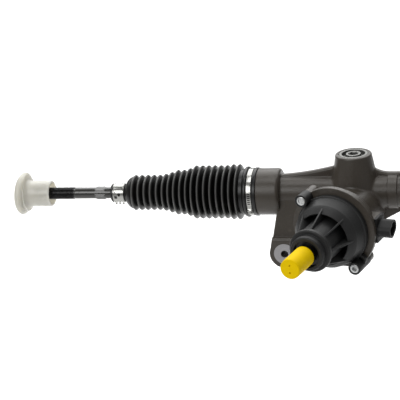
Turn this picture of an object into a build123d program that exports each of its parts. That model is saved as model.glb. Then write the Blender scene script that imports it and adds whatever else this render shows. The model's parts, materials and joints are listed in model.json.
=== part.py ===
from build123d import *
import math
import os

# A rack-and-pinion steering gear with a torque sensor on its pinion, in millimetres.
# Everything is drawn from the point where the rack axis meets the yoke axis:
# +X along the rack to the far side, -Y towards the steering column, +Z up through the yoke.
# The finished pieces are then moved so that the origin is the left mounting hole.

# Layout along the rack
PINION_TO_MIDDLE = 205.0
RACK_TRAVEL = 60.0
STOP_PLAY = 0.5

# Clearances between pieces
RUNNING_GAP = 0.05
SEAT_GAP = 0.05
BALL_GAP = 0.1
THREAD_GAP = 0.1

# Rack housing: tube, end collars and the seats of the bellows
TUBE_AIR = 1.5
TUBE_WALL = 4.5
BAND_STEP = 1.5
BAND_X = 37.0
BAND_LENGTH = 10.5
COLLAR_LENGTH = 26.0
COLLAR_X = -109.0
COLLAR_ROUND = 5.0
COLLAR_FOOT_ROUND = 2.0
COLLAR_STEP = 1.9
SEAT_LENGTH = 15.0
SEAT_CHAMFER = 1.0
CUT_MARGIN = 1.0

# Mounting arms and eyes
EYE_X = -80.0
EYE_Z = -64.0
EYE_FACE_Y = -30.0
EYE_LENGTH = 38.0
EYE_RADIUS = 17.0
EYE_ROUND = 4.0
EYE_LEDGE = 19.0
EYE_BORE = 4.2
ARM_TOP_LEFT = -84.0
ARM_TOP_RIGHT = -46.0
ARM_TOP_Y = -17.5
ARM_LEDGE_Y = -24.0
ARM_ROUND = 3.0

# Yoke boss on top, with its web and plug
BOSS_TOP = 44.0
BOSS_WALL = 3.8
BOSS_TAPER = 10.0
BOSS_FOOT = -6.0
BOSS_ROUND = 2.0
BOSS_FOOT_ROUND = 2.0
WEB_THICKNESS = 8.0
WEB_ROUND = 2.5
WEB_FOOT_ROUND = 1.5
WEB_START_X = -84.0
WEB_START_RISE = 2.0
WEB_RISE_X = -51.0
WEB_MIDDLE_RISE = 5.5
WEB_TOP_RISE = 17.5
WEB_START_SLOPE = 0.05
WEB_RISE_SLOPE = 0.3
WEB_FALL_SLOPE = -0.1
RIB_RISE = 3.5
RIB_X = 40.0
RIB_LENGTH = 110.0
RIB_RUNOUT = 25.0
GUSSET_X = 66.0
GUSSET_Z = -46.0
GUSSET_THICKNESS = 8.0
YOKE_WALL = 1.9
YOKE_BOTTOM = 5.0
YOKE_TOP = 29.0
YOKE_CUP_RADIUS = 9.0
YOKE_CUP_DEPTH = 8.0
PLUG_STEP = 1.8
PLUG_HEIGHT = 11.0
PLUG_GROOVE_OUTER = 12.9
PLUG_GROOVE_INNER = 8.3
PLUG_GROOVE_DEPTH = 5.0
PLUG_HEX = 10.0
PLUG_HEX_DEPTH = 6.0
SPRING_OUTER = 11.5
SPRING_INNER = 5.0
SPRING_PLATE = 1.0

# Pinion axis, seen from above it leans to the left of square by this angle
PINION_LEAN = 15.0
PINION_X = 6.7
PINION_DROP = 15.0

# Teeth of rack and pinion
PINION_TEETH = 8
TOOTH_MODULE = 1.9
PRESSURE_ANGLE = 30.0
TOOTH_HEIGHT_SHARE = 0.9
TOOTH_ROOT_SHARE = 1.25
BACKLASH = 0.16
TOOTHED_FACE = 34.0
RACK_RADIUS = 12.5
RACK_TEETH = 24

# Pinion shaft, bearings and torsion bar, by distance along the pinion axis
REAR_JOURNAL_RADIUS = 6.0
REAR_JOURNAL_LENGTH = 19.0
NEEDLE_CUP_RADIUS = 9.5
NEEDLE_CUP_LENGTH = 14.0
BEARING_BORE = 10.0
BEARING_RADIUS = 21.0
BEARING_WIDTH = 12.0
BEARING_AT = 20.0
BEARING_BALL = 3.2
BEARING_BALLS = 8
RING_NUT_LENGTH = 6.0
RING_NUT_BORE = 15.0
PINION_SHOULDER = 11.5
PINION_AIR = 1.0
PINION_HEAD_RADIUS = 9.5
PINION_HEAD_END = 58.0
PILOT_RADIUS = 6.0
PILOT_LENGTH = 9.0
BAR_RADIUS = 2.8
BAR_END_RADIUS = 4.1
BAR_END_LENGTH = 15.0
BAR_START = 27.0
INPUT_RADIUS = 8.5
INPUT_END = 185.0
INPUT_GROOVE_AT = 165.0
INPUT_GROOVE_WIDTH = 9.0
INPUT_GROOVE_DEPTH = 1.2

# Pinion tower and sensor bell of the housing
TOWER_WALL = 6.0
TOWER_FOOT_ROUND = 4.0
TOWER_REAR_WALL = 8.0
TOWER_REAR_END = -44.0
END_PLUG_LENGTH = 5.0
BELL_FACE = 80.0
BELL_RIM_LENGTH = 8.0
BELL_RIM_WIDTH = 7.0
BELL_RIM_ROUND = 2.0
BELL_FLAT = 1.0
BELL_BODY_LENGTH = 20.0
BELL_CONE_LENGTH = 12.0
BELL_WALL = 5.0
BELL_CAVITY = 14.0

# Ribbed cover of the sensor: each ring is wider than the one before it by these widths
SEAL_WIDTH = 6.0
SEAL_LENGTH = 6.0
SEAL_RECESS = 4.0
SEAL_LIP_WALL = 2.2
SEAL_LIP_END = 153.0
COVER_STEP_WIDTH = 4.3
COVER_STEP_AT = 141.5
COVER_END = 150.0
COVER_NECK_WIDTH = 4.5
COVER_NECK_LENGTH = 6.5
COVER_NECK_ROUND = 1.2
COVER_HUB_INSET = 1.3
COVER_HUB_TAPER = 1.2
COVER_POCKET_WIDTH = 7.0
COVER_LIP_AT = 109.0
COVER_LIP_EDGE = 1.2
COVER_FACE_WIDTH = 6.5
COVER_EDGE_AT = 102.0
COVER_EDGE_ROUND = 1.5
COVER_SHOULDER_WIDTH = 3.0
COVER_RIM_WIDTH = 1.5
COVER_RIM_LENGTH = 6.0
COVER_SPIGOT = 6.0
COVER_SPIGOT_WALL = 3.4
COVER_WALL = 3.0
POCKET_FLOOR = 92.0
COVER_SHAFT_GAP = 2.0
COVER_RIBS = 8
COVER_RIB_THICKNESS = 2.0
COVER_RIB_SINK = 1.5
COVER_RING_SECTION = 1.3

# Screws of the cover and their bosses
COVER_BOLT_OUTSET = 5.5
COVER_BOLT_ANGLE = 128.5
COVER_BOLT_RADIUS = 3.0
COVER_BOLT_GRIP = 8.0
COVER_BOLT_HEAD_RADIUS = 5.0
COVER_BOLT_HEAD_HEIGHT = 5.5
COVER_BOLT_HEX = 5.0
COVER_BOLT_HEX_DEPTH = 3.0
LUG_RADIUS = 7.0
LUG_FRONT = 96.0
LUG_GAP = 0.2
LUG_WEB = 11.0
BOSS_RADIUS = 6.2
BOSS_LENGTH = 11.0
UPPER_BOSS_BACK = 60.0
LOWER_LUG_BACK = 66.0
LUG_ROUND = 2.5
EAR_TURN = 8.5
EAR_OUTSET = 3.0
EAR_RADIUS = 6.0
EAR_BORE = 3.2

# Torque sensor inside the bell
MAGNET_WIDTH = 8.5
MAGNET_AT = 61.0
SENSOR_AIR = 3.0
MAGNET_LENGTH = 10.0
STATOR_GAP = 1.0
STATOR_WALL = 3.0
STATOR_SLEEVE = 2.0
BOARD_THICKNESS = 2.0
BOARD_BORE = 12.0

# Connector on the side of the bell
CONNECTOR_AT = 64.0
CONNECTOR_OUTSET = 4.5
CONNECTOR_TURN = 1.0
CONNECTOR_TILT = 57.0
CONNECTOR_WIDTH = 21.0
CONNECTOR_DEPTH = 15.0
CONNECTOR_REACH = 17.0
CONNECTOR_WALL = 2.2
CONNECTOR_FLOOR = 5.0
CONNECTOR_PLATE = 3.0
CONNECTOR_PLATE_RIM = 3.0
CONTACT_SIZE = 1.2
CONTACT_COUNT = 3
CONTACT_LENGTH = 7.0

# Bellows of one side, by distance along the rack
BOOT_FIRST_RIDGE = -258.0
BOOT_LAST_RIDGE = -131.4
BOOT_RIDGES = (20.0,) * 5 + (20.9, 22.8, 25.1, 25.1, 26.8) + (29.8,) * 6 + (30.8,) * 2
BOOT_DEPTH_SHARE = 0.17
BOOT_CREST = 1.4
BOOT_CREST_FOOT = 3.2
BOOT_CREST_DROP = 0.6
BOOT_WALL = 1.2
BOOT_NECK_RADIUS = 10.1
BOOT_NECK_X = -286.0
BOOT_NECK_LIP = 0.5
BOOT_NECK_LIP_WIDTH = 2.2
BOOT_SHOULDER_X = -268.0
BOOT_SHOULDER_RISE = 1.5
BOOT_SHOULDER_RUN = 2.0
BOOT_SEAT_WALL = 1.8
BOOT_RING_WALL = 4.1
BOOT_LIP_WALL = 2.7
BOOT_LIP_WIDTH = 4.0
BOOT_GROOVE_GAP = 0.5

# Clamps of the bellows
LARGE_CLAMP_X = -119.2
LARGE_CLAMP_WIDTH = 5.2
LARGE_CLAMP_BAND = 0.6
LARGE_EAR_ANGLE = 228.0
LARGE_EAR_HEIGHT = 3.0
LARGE_EAR_LENGTH = 9.0
LARGE_SLOTS = 6
LARGE_SLOT_ANGLE = 190.0
LARGE_SLOT_STEP = 5.0
LARGE_SLOT_LENGTH = 3.2
LARGE_SLOT_WIDTH = 1.2
SMALL_CLAMP_X = -283.4
SMALL_CLAMP_WIDTH = 12.9
SMALL_CLAMP_BAND = 0.5
SMALL_EAR_ANGLE = 258.0
SMALL_EAR_HEIGHT = 3.0
SMALL_EAR_LENGTH = 3.2
SMALL_EAR_TEETH = 3
SMALL_HOLE_ANGLE = 205.0
SMALL_HOLE_RADIUS = 1.7
SMALL_WINDOW_ANGLE = 232.0
SMALL_WINDOW = 3.4

# Inner ball joint and tie rod
BALL_X = -215.0
BALL_RADIUS = 10.0
BALL_SEAT_WALL = 2.4
BALL_SEAT_MOUTH = 5.0
SOCKET_RADIUS = 14.8
SOCKET_MOUTH = 13.0
SOCKET_MOUTH_RADIUS = 13.0
SOCKET_THROAT = 7.0
SOCKET_THROAT_RADIUS = 9.8
SOCKET_BODY = 15.0
SOCKET_SHANK_RADIUS = 13.4
SOCKET_FLATS = 24.0
SOCKET_STUD_RADIUS = 7.0
SOCKET_STUD_LENGTH = 16.0
SOCKET_LIP = 0.6
SOCKET_LIP_LENGTH = 2.0
SOCKET_SHOULDER = 1.5
SOCKET_FLAT_MARGIN = 3.0
ROD_RADIUS = 6.65
ROD_NECK_RADIUS = 6.0
ROD_NECK_LENGTH = 8.0
ROD_NECK_TAPER = 3.0
ROD_HEX_X = -304.6
ROD_HEX_LENGTH = 13.6
ROD_HEX = 13.0
ROD_THREAD_X = -329.9
ROD_THREAD_RADIUS = 7.0
ROD_END_X = -398.0
ROD_CHAMFER = 1.5
ROD_THREAD_RUNOUT = 1.0

# Protective cap pushed on the thread
CAP_END_X = -355.5
CAP_HUB_RADIUS = 15.0
CAP_HUB_ROUND = 3.5
CAP_BORE_END_X = -400.0
CAP_FLANGE_X = -396.0
CAP_FLANGE_RADIUS = 24.85
CAP_FLANGE_EDGE = 4.0
CAP_DOME = 6.0
CAP_FLANGE_TILT = 7.0

# Protective cap on the input shaft
PINION_CAP_START = 154.0
PINION_CAP_END = 189.0
PINION_CAP_WALL = 2.6
PINION_CAP_ROUND = 1.5
PINION_CAP_VENT = 0.9
PINION_CAP_VENT_SPACING = 8.0

# Stop rings and rack bush inside the ends of the housing
STOP_WALL = 4.5
STOP_LENGTH = 12.0
STOP_GAP = 1.1
STOP_RING_WALL = 6.4
BUSH_WALL = 3.5
BUSH_LENGTH = 30.0
BUSH_SHOULDER = 3.0

# Places that follow from the sizes above
TUBE_BORE = RACK_RADIUS + TUBE_AIR
TUBE_RADIUS = TUBE_BORE + TUBE_WALL
BAND_RADIUS = TUBE_RADIUS + BAND_STEP
BUSH_RADIUS = RACK_RADIUS + BUSH_WALL
YOKE_RADIUS = RACK_RADIUS + YOKE_WALL
PLUG_RADIUS = YOKE_RADIUS + PLUG_STEP
BOSS_TOP_RADIUS = PLUG_RADIUS + BOSS_WALL
RIB_HEIGHT = TUBE_RADIUS + RIB_RISE
WEB_START_Z = TUBE_RADIUS + WEB_START_RISE
WEB_RISE_Z = TUBE_RADIUS + WEB_MIDDLE_RISE
WEB_HEIGHT = TUBE_RADIUS + WEB_TOP_RISE
STOP_INNER = RACK_RADIUS + STOP_GAP
STOP_BORE = STOP_INNER + STOP_RING_WALL
SEAT_RADIUS = STOP_BORE + STOP_WALL
COLLAR_RADIUS = SEAT_RADIUS + COLLAR_STEP
LARGE_CLAMP_INNER = SEAT_RADIUS + BOOT_SEAT_WALL
SEAL_RADIUS = INPUT_RADIUS + SEAL_WIDTH
COVER_STEP_RADIUS = SEAL_RADIUS + COVER_STEP_WIDTH
COVER_NECK_RADIUS = COVER_STEP_RADIUS + COVER_NECK_WIDTH
COVER_HUB_RADIUS = COVER_NECK_RADIUS - COVER_HUB_INSET
COVER_LIP_RADIUS = COVER_HUB_RADIUS + COVER_POCKET_WIDTH
COVER_EDGE_RADIUS = COVER_LIP_RADIUS + COVER_FACE_WIDTH
COVER_RADIUS = COVER_EDGE_RADIUS + COVER_SHOULDER_WIDTH + COVER_RIM_WIDTH
COVER_NECK_AT = COVER_STEP_AT - COVER_NECK_LENGTH
COVER_BOLT_CIRCLE = COVER_RADIUS + COVER_BOLT_OUTSET
BELL_RADIUS = COVER_RADIUS + BELL_RIM_WIDTH
BELL_BORE = COVER_RADIUS - BELL_WALL
MAGNET_RADIUS = INPUT_RADIUS + MAGNET_WIDTH
BELL_INNER_BORE = MAGNET_RADIUS + STATOR_GAP + STATOR_WALL + SENSOR_AIR
BELL_STEP = BELL_FACE - BELL_CAVITY
CONNECTOR_SEAT = COVER_RADIUS + CONNECTOR_OUTSET
TOWER_RADIUS = BEARING_RADIUS + TOWER_WALL
TOWER_REAR_RADIUS = NEEDLE_CUP_RADIUS + TOWER_REAR_WALL
PINION_CAP_RADIUS = INPUT_RADIUS + PINION_CAP_WALL
FACE_X = COLLAR_X - SEAT_LENGTH
COLLAR_INNER_X = COLLAR_X + COLLAR_LENGTH
STOP_INNER_X = FACE_X + STOP_LENGTH
SOCKET_FACE_X = FACE_X - RACK_TRAVEL - STOP_PLAY
EYE_BACK_Y = EYE_FACE_Y + EYE_LENGTH
GEAR_CENTRE = Location((-EYE_X, -EYE_FACE_Y, -EYE_Z))
LEAN = math.radians(PINION_LEAN)
PINION_AXIS = Plane(
    origin=(PINION_X, 0, -PINION_DROP),
    x_dir=(math.cos(LEAN), -math.sin(LEAN), 0),
    z_dir=(-math.sin(LEAN), -math.cos(LEAN), 0),
)
MIDDLE = Plane.YZ.offset(PINION_TO_MIDDLE)
PITCH_RADIUS = PINION_TEETH * TOOTH_MODULE / 2
TOOTH_PITCH = math.pi * TOOTH_MODULE
TOOTH_TIP = TOOTH_HEIGHT_SHARE * TOOTH_MODULE
TOOTH_ROOT = TOOTH_ROOT_SHARE * TOOTH_MODULE
BEARING_END = BEARING_AT + BEARING_WIDTH
INPUT_START = PINION_HEAD_END + STATOR_GAP
BAR_END = INPUT_END - BAR_END_LENGTH / 2
SEAL_AT = COVER_END - SEAL_RECESS - SEAL_LENGTH
LUG_SEAT = LUG_FRONT - COVER_BOLT_HEAD_HEIGHT
COVER_LUGS = ((0, BELL_FACE), (180, LOWER_LUG_BACK))


def flip(x):
    """The mirrored place of a distance along the rack."""
    return 2 * PINION_TO_MIDDLE - x


def mirrored(shape):
    """The same piece on the far side of the vehicle."""
    return mirror(shape, about=MIDDLE)


def turned(points):
    """A solid turned about the rack axis from (distance, radius) points."""
    return revolve(Plane.XZ * Polygon(*points, align=None), Axis.X)


def spun(points):
    """A solid turned about its own upright axis from (radius, height) points."""
    return revolve(Plane.XZ * Polygon(*points, align=None), Axis.Z)


def ring(outer, inner, start, length):
    """A plain ring along its own upright axis."""
    return Pos(0, 0, start + length / 2) * (Cylinder(outer, length) - Cylinder(inner, length))


def rod_x(radius, start, end):
    """A plain round bar along the rack axis."""
    return Pos((start + end) / 2, 0, 0) * Rot(0, 90, 0) * Cylinder(radius, end - start)


def post(radius, start, end):
    """A plain round bar along its own upright axis."""
    return Pos(0, 0, (start + end) / 2) * Cylinder(radius, end - start)


def on_pinion(shape):
    """Puts a piece drawn about the upright axis on the pinion axis."""
    return PINION_AXIS * shape


def bolt_place(turn):
    """Place of a cover screw, turned by an angle from the upper one."""
    angle = math.radians(COVER_BOLT_ANGLE + turn)
    return Pos(COVER_BOLT_CIRCLE * math.cos(angle), COVER_BOLT_CIRCLE * math.sin(angle), 0)


def connector_place():
    """Location whose upright axis leaves the side of the bell through the connector."""
    turn = math.radians(CONNECTOR_TURN)
    outward = (math.cos(turn), math.sin(turn), 0)
    across = (-math.sin(turn), math.cos(turn), 0)
    return Plane(origin=(0, 0, CONNECTOR_AT), x_dir=across, z_dir=outward)


def connector_block(margin, height):
    """Block with the outline of the connector's base plate, wider by a margin all round."""
    width = CONNECTOR_WIDTH + 2 * CONNECTOR_PLATE_RIM + 2 * margin
    depth = CONNECTOR_DEPTH + 2 * CONNECTOR_PLATE_RIM + 2 * margin
    return Box(width, depth, height, align=(Align.CENTER, Align.CENTER, Align.MIN))


def housing_end():
    """Collar and bellows seat at one end of the tube."""
    step = COLLAR_RADIUS - TUBE_RADIUS
    foot = min(COLLAR_FOOT_ROUND, step / 3)
    outline = Polygon(
        (FACE_X, 0),
        (FACE_X, SEAT_RADIUS - SEAT_CHAMFER),
        (FACE_X + SEAT_CHAMFER, SEAT_RADIUS),
        (COLLAR_X, SEAT_RADIUS),
        (COLLAR_X, COLLAR_RADIUS),
        (COLLAR_INNER_X, COLLAR_RADIUS),
        (COLLAR_INNER_X, TUBE_RADIUS),
        (COLLAR_INNER_X + 2 * foot, TUBE_RADIUS),
        (COLLAR_INNER_X + 2 * foot, 0),
        align=None,
    )
    inner_face = outline.vertices().filter_by(lambda corner: corner.X == COLLAR_INNER_X).sort_by(Axis.Y)
    outline = fillet(inner_face[0], foot)
    inner_face = outline.vertices().filter_by(lambda corner: corner.X == COLLAR_INNER_X).sort_by(Axis.Y)
    outline = fillet(inner_face[-1], min(COLLAR_ROUND, step / 2))
    return revolve(Plane.XZ * outline, Axis.X)


def mounting_arm():
    """Arm below the tube that steps out to a block with the machined face of one mounting eye."""
    front = Polygon(
        (ARM_TOP_LEFT, 0),
        (EYE_X - EYE_RADIUS, EYE_Z),
        (EYE_X + EYE_RADIUS, EYE_Z),
        (ARM_TOP_RIGHT, 0),
        align=None,
    )
    front += Pos(EYE_X, EYE_Z) * Circle(EYE_RADIUS)
    ledge_z = EYE_Z + EYE_LEDGE
    bottom_z = EYE_Z - EYE_RADIUS
    side = Polygon(
        (ARM_TOP_Y, 0),
        (ARM_LEDGE_Y, ledge_z),
        (EYE_FACE_Y, ledge_z),
        (EYE_FACE_Y, bottom_z),
        (EYE_BACK_Y, bottom_z),
        (EYE_BACK_Y, 0),
        align=None,
    )
    ledge_corner = side.vertices().group_by(Axis.X)[0].sort_by(Axis.Y)[-1]
    side = fillet(ledge_corner, EYE_ROUND)
    arm = extrude(Plane.XZ.offset(-EYE_BACK_Y) * front, EYE_LENGTH)
    arm &= extrude(Plane.YZ.offset(EYE_X) * side, 2 * EYE_RADIUS + EYE_LENGTH, both=True)
    straight = arm.edges().filter_by(GeomType.LINE)
    slanting = straight.filter_by(lambda edge: ARM_LEDGE_Y < edge.center().Y < ARM_TOP_Y)
    return fillet(slanting.filter_by(lambda edge: edge.length > EYE_LEDGE), ARM_ROUND)


def eye_hole():
    """Through hole of one mounting eye."""
    eye_plane = Plane(origin=(EYE_X, EYE_BACK_Y, EYE_Z), z_dir=(0, -1, 0))
    return eye_plane * post(EYE_BORE, -CUT_MARGIN, EYE_LENGTH + CUT_MARGIN)


def yoke_boss():
    """Tapered boss over the rack that guides the yoke."""
    foot_radius = BOSS_TOP_RADIUS + (BOSS_TOP - BOSS_FOOT) * math.tan(math.radians(BOSS_TAPER))
    boss = spun([(0, BOSS_FOOT), (foot_radius, BOSS_FOOT), (BOSS_TOP_RADIUS, BOSS_TOP), (0, BOSS_TOP)])
    return fillet(boss.edges().filter_by(GeomType.CIRCLE).sort_by(Axis.Z)[-1], BOSS_ROUND)


def top_web():
    """Web on top of the tube that sweeps up to the yoke boss and runs out as a low rib."""
    rise = Spline(
        (WEB_START_X, WEB_START_Z),
        (WEB_RISE_X, WEB_RISE_Z),
        (0, WEB_HEIGHT),
        tangents=[(1, WEB_START_SLOPE), (1, WEB_RISE_SLOPE)],
    )
    fall = Spline((0, WEB_HEIGHT), (RIB_X, RIB_HEIGHT), tangents=[(1, WEB_FALL_SLOPE), (1, 0)])
    rib_end = RIB_X + RIB_LENGTH
    foot = (TUBE_RADIUS + TUBE_BORE) / 2
    rest = Polyline(
        (RIB_X, RIB_HEIGHT),
        (rib_end, RIB_HEIGHT),
        (rib_end + RIB_RUNOUT, foot),
        (WEB_START_X, foot),
        (WEB_START_X, WEB_START_Z),
    )
    outline = make_face(Curve() + [rise, fall, rest])
    web = extrude(Plane.XZ * outline, WEB_THICKNESS / 2, both=True)
    top = web.edges().filter_by(lambda edge: edge.center().Z > TUBE_RADIUS)
    return fillet(top - top.filter_by(Axis.Y), WEB_ROUND)


def tower_gusset():
    """Slanting gusset between the underside of the tube and the pinion tower."""
    outline = Polygon((PINION_X, 0), (GUSSET_X, 0), (GUSSET_X, -TUBE_BORE), (PINION_X, GUSSET_Z), align=None)
    return extrude(Plane.XZ * outline, GUSSET_THICKNESS / 2, both=True)


def screw_boss(turn, back, front):
    """Cast boss for one cover screw, with a web to the bell."""
    boss = post(BOSS_RADIUS, back, front)
    boss = fillet(boss.edges().filter_by(GeomType.CIRCLE).sort_by(Axis.Z)[0], LUG_ROUND)
    length = front - back - LUG_ROUND
    web = Box(COVER_BOLT_CIRCLE, BOSS_RADIUS, length, align=(Align.MIN, Align.CENTER, Align.MAX))
    web = Rot(0, 0, COVER_BOLT_ANGLE + turn) * Pos(0, 0, front) * web
    return bolt_place(turn) * boss + web


def pinion_tower():
    """Tower round the pinion that opens into the bell of the torque sensor."""
    rim_back = BELL_FACE - BELL_RIM_LENGTH
    body_back = BELL_FACE - BELL_BODY_LENGTH
    tower = spun(
        [
            (0, TOWER_REAR_END),
            (TOWER_REAR_RADIUS, TOWER_REAR_END),
            (TOWER_REAR_RADIUS, 0),
            (TOWER_RADIUS, 0),
            (TOWER_RADIUS, body_back - BELL_CONE_LENGTH),
            (COVER_RADIUS, body_back),
            (COVER_RADIUS, rim_back),
            (BELL_RADIUS - BELL_RIM_ROUND, rim_back),
            (BELL_RADIUS, rim_back + BELL_RIM_ROUND),
            (BELL_RADIUS, BELL_FACE),
            (0, BELL_FACE),
        ]
    )
    below = Box(2 * BELL_RADIUS, BELL_RADIUS, BELL_FACE, align=(Align.CENTER, Align.MAX, Align.MIN))
    tower -= Pos(0, -COVER_RADIUS - BELL_FLAT, 0) * below
    tower += screw_boss(0, UPPER_BOSS_BACK, BELL_FACE)
    tower += screw_boss(180, LOWER_LUG_BACK - BOSS_LENGTH, LOWER_LUG_BACK)
    tower += connector_place() * connector_block(0, CONNECTOR_SEAT)
    return on_pinion(tower)


def tower_bores():
    """Everything hollow along the pinion axis of the housing."""
    half = TOOTHED_FACE / 2
    nut_end = BEARING_END + RING_NUT_LENGTH
    cup_end = TOWER_REAR_END + END_PLUG_LENGTH + NEEDLE_CUP_LENGTH
    journal_end = -half - REAR_JOURNAL_LENGTH - PINION_AIR
    bores = post(PINION_SHOULDER + PINION_AIR, -half - PINION_AIR, BEARING_AT + CUT_MARGIN)
    bores += post(REAR_JOURNAL_RADIUS + PINION_AIR, journal_end - CUT_MARGIN, 0)
    bores += post(NEEDLE_CUP_RADIUS, TOWER_REAR_END - CUT_MARGIN, cup_end)
    bores += post(BEARING_RADIUS + SEAT_GAP, BEARING_AT, nut_end + CUT_MARGIN)
    bores += post(BELL_INNER_BORE, nut_end, BELL_STEP + CUT_MARGIN)
    bores += post(BELL_BORE, BELL_STEP, BELL_FACE + CUT_MARGIN)
    for turn, back in COVER_LUGS:
        hole = post(COVER_BOLT_RADIUS + THREAD_GAP, back - COVER_BOLT_GRIP - CUT_MARGIN, back + CUT_MARGIN)
        bores += bolt_place(turn) * hole
    bores += bolt_place(180) * post(LUG_RADIUS + LUG_GAP, LOWER_LUG_BACK, BELL_FACE + CUT_MARGIN)
    room = connector_block(LUG_GAP, CONNECTOR_REACH)
    bores += connector_place() * Pos(0, 0, CONNECTOR_SEAT) * room
    return on_pinion(bores)


def rack_bores():
    """Bore of the tube with the stop ring seats, the bush seat, the yoke bore and the plug thread."""
    near = FACE_X - CUT_MARGIN
    bush_start = flip(STOP_INNER_X) - BUSH_LENGTH - BUSH_SHOULDER
    bores = rod_x(TUBE_BORE, near, flip(near))
    bores += rod_x(STOP_BORE, near, STOP_INNER_X)
    bores += rod_x(STOP_BORE, flip(STOP_INNER_X), flip(near))
    bores += rod_x(BUSH_RADIUS, bush_start, flip(STOP_INNER_X) + CUT_MARGIN)
    bores += post(YOKE_RADIUS + SEAT_GAP, 0, BOSS_TOP)
    bores += post(PLUG_RADIUS + SEAT_GAP, BOSS_TOP - PLUG_HEIGHT - SPRING_PLATE, BOSS_TOP + CUT_MARGIN)
    return bores


def cast_onto(body, form, radius):
    """Adds a form to the casting, with a fillet all along the line where the two meet."""
    both = body + form
    return fillet(new_edges(body, form, combined=both), radius)


def housing():
    """The one-piece cast housing of rack, pinion and sensor."""
    body = rod_x(TUBE_RADIUS, COLLAR_X, flip(COLLAR_X))
    body = cast_onto(body, pinion_tower(), TOWER_FOOT_ROUND)
    body = cast_onto(body, yoke_boss(), BOSS_FOOT_ROUND)
    body = cast_onto(body, top_web(), WEB_FOOT_ROUND)
    body += rod_x(BAND_RADIUS, BAND_X, BAND_X + BAND_LENGTH)
    body += tower_gusset()
    for end in (housing_end(), mounting_arm()):
        body += end
        body += mirrored(end)
    body -= rack_bores()
    body -= tower_bores()
    hole = eye_hole()
    body -= hole
    body -= mirrored(hole)
    return body


def involute(angle):
    """Involute function of a pressure angle in radians."""
    return math.tan(angle) - angle


def polar(radius, angle):
    """Point on a circle about the pinion axis."""
    return (radius * math.cos(angle), radius * math.sin(angle))


def pinion_teeth():
    """Straight involute teeth; one of them points straight up."""
    pressure = math.radians(PRESSURE_ANGLE)
    base = PITCH_RADIUS * math.cos(pressure)
    tip = PITCH_RADIUS + TOOTH_TIP
    root = PITCH_RADIUS - TOOTH_ROOT
    half_at_pitch = (TOOTH_PITCH / 2 - BACKLASH / 2) / (2 * PITCH_RADIUS)
    half_at_base = half_at_pitch + involute(pressure)

    def flank(step):
        """Point on the right flank, from the base circle (0) to the tip (1)."""
        radius = base + (tip - base) * step
        return radius, half_at_base - involute(math.acos(base / radius))

    steps = (0.0, 0.15, 0.4, 0.7, 1.0)
    edges = Curve()
    for tooth in range(PINION_TEETH):
        middle = math.pi / 2 + 2 * math.pi * tooth / PINION_TEETH
        right = [polar(r, middle - half) for r, half in map(flank, steps)]
        left = [polar(r, middle + half) for r, half in map(flank, reversed(steps))]
        foot_right = polar(root, middle - half_at_base)
        foot_left = polar(root, middle + half_at_base)
        gap_middle = middle + math.pi / PINION_TEETH
        next_foot = polar(root, middle + 2 * math.pi / PINION_TEETH - half_at_base)
        edges += Line(foot_right, right[0])
        edges += Spline(*right)
        edges += ThreePointArc(right[-1], polar(tip, middle), left[0])
        edges += Spline(*left)
        edges += Line(left[-1], foot_left)
        edges += ThreePointArc(foot_left, polar(root, gap_middle), next_foot)
    return extrude(Pos(0, 0, -TOOTHED_FACE / 2) * make_face(edges), TOOTHED_FACE)


def pinion():
    """Pinion with its teeth, rear journal, bearing seat and head for the torsion bar."""
    half = TOOTHED_FACE / 2
    shaft = spun(
        [
            (0, half - CUT_MARGIN),
            (PITCH_RADIUS - TOOTH_ROOT, half - CUT_MARGIN),
            (PITCH_RADIUS - TOOTH_ROOT, half),
            (PINION_SHOULDER, half),
            (PINION_SHOULDER, BEARING_AT),
            (BEARING_BORE, BEARING_AT),
            (BEARING_BORE, BEARING_END),
            (PINION_HEAD_RADIUS, BEARING_END),
            (PINION_HEAD_RADIUS, PINION_HEAD_END),
            (0, PINION_HEAD_END),
        ]
    )
    shaft += post(REAR_JOURNAL_RADIUS, -half - REAR_JOURNAL_LENGTH, -half)
    shaft += pinion_teeth()
    head_cut = PINION_HEAD_END + CUT_MARGIN
    shaft -= post(BAR_END_RADIUS + SEAT_GAP, BAR_START, head_cut)
    shaft -= post(PILOT_RADIUS + RUNNING_GAP, PINION_HEAD_END - PILOT_LENGTH, head_cut)
    return on_pinion(shaft)


def torsion_bar():
    """Slim bar that links pinion and input shaft and twists under load."""
    bar = post(BAR_RADIUS, BAR_START, BAR_END)
    bar += post(BAR_END_RADIUS, BAR_START, BAR_START + BAR_END_LENGTH)
    bar += post(BAR_END_RADIUS, BAR_END - BAR_END_LENGTH, BAR_END)
    return on_pinion(bar)


def input_shaft():
    """Hollow input shaft with a pilot in the pinion head and a clamp groove at its outer end."""
    shaft = spun(
        [
            (0, PINION_HEAD_END - PILOT_LENGTH + STATOR_GAP),
            (PILOT_RADIUS, PINION_HEAD_END - PILOT_LENGTH + STATOR_GAP),
            (PILOT_RADIUS, INPUT_START),
            (INPUT_RADIUS, INPUT_START),
            (INPUT_RADIUS, INPUT_END - INPUT_GROOVE_DEPTH),
            (INPUT_RADIUS - INPUT_GROOVE_DEPTH, INPUT_END),
            (0, INPUT_END),
        ]
    )
    shaft -= post(BAR_END_RADIUS + RUNNING_GAP, 0, INPUT_END + CUT_MARGIN)
    groove_outer = INPUT_RADIUS + INPUT_GROOVE_DEPTH
    shaft -= ring(groove_outer, INPUT_RADIUS - INPUT_GROOVE_DEPTH, INPUT_GROOVE_AT, INPUT_GROOVE_WIDTH)
    return on_pinion(shaft)


def ball_track():
    """Radius of the circle on which the bearing balls run."""
    return (BEARING_BORE + BEARING_RADIUS) / 2


def bearing_groove():
    """Round groove that both races carry for the balls."""
    section = Rot(90, 0, 0) * Circle(BEARING_BALL + BALL_GAP)
    return revolve(Pos(ball_track(), 0, BEARING_AT + BEARING_WIDTH / 2) * section, Axis.Z)


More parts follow.
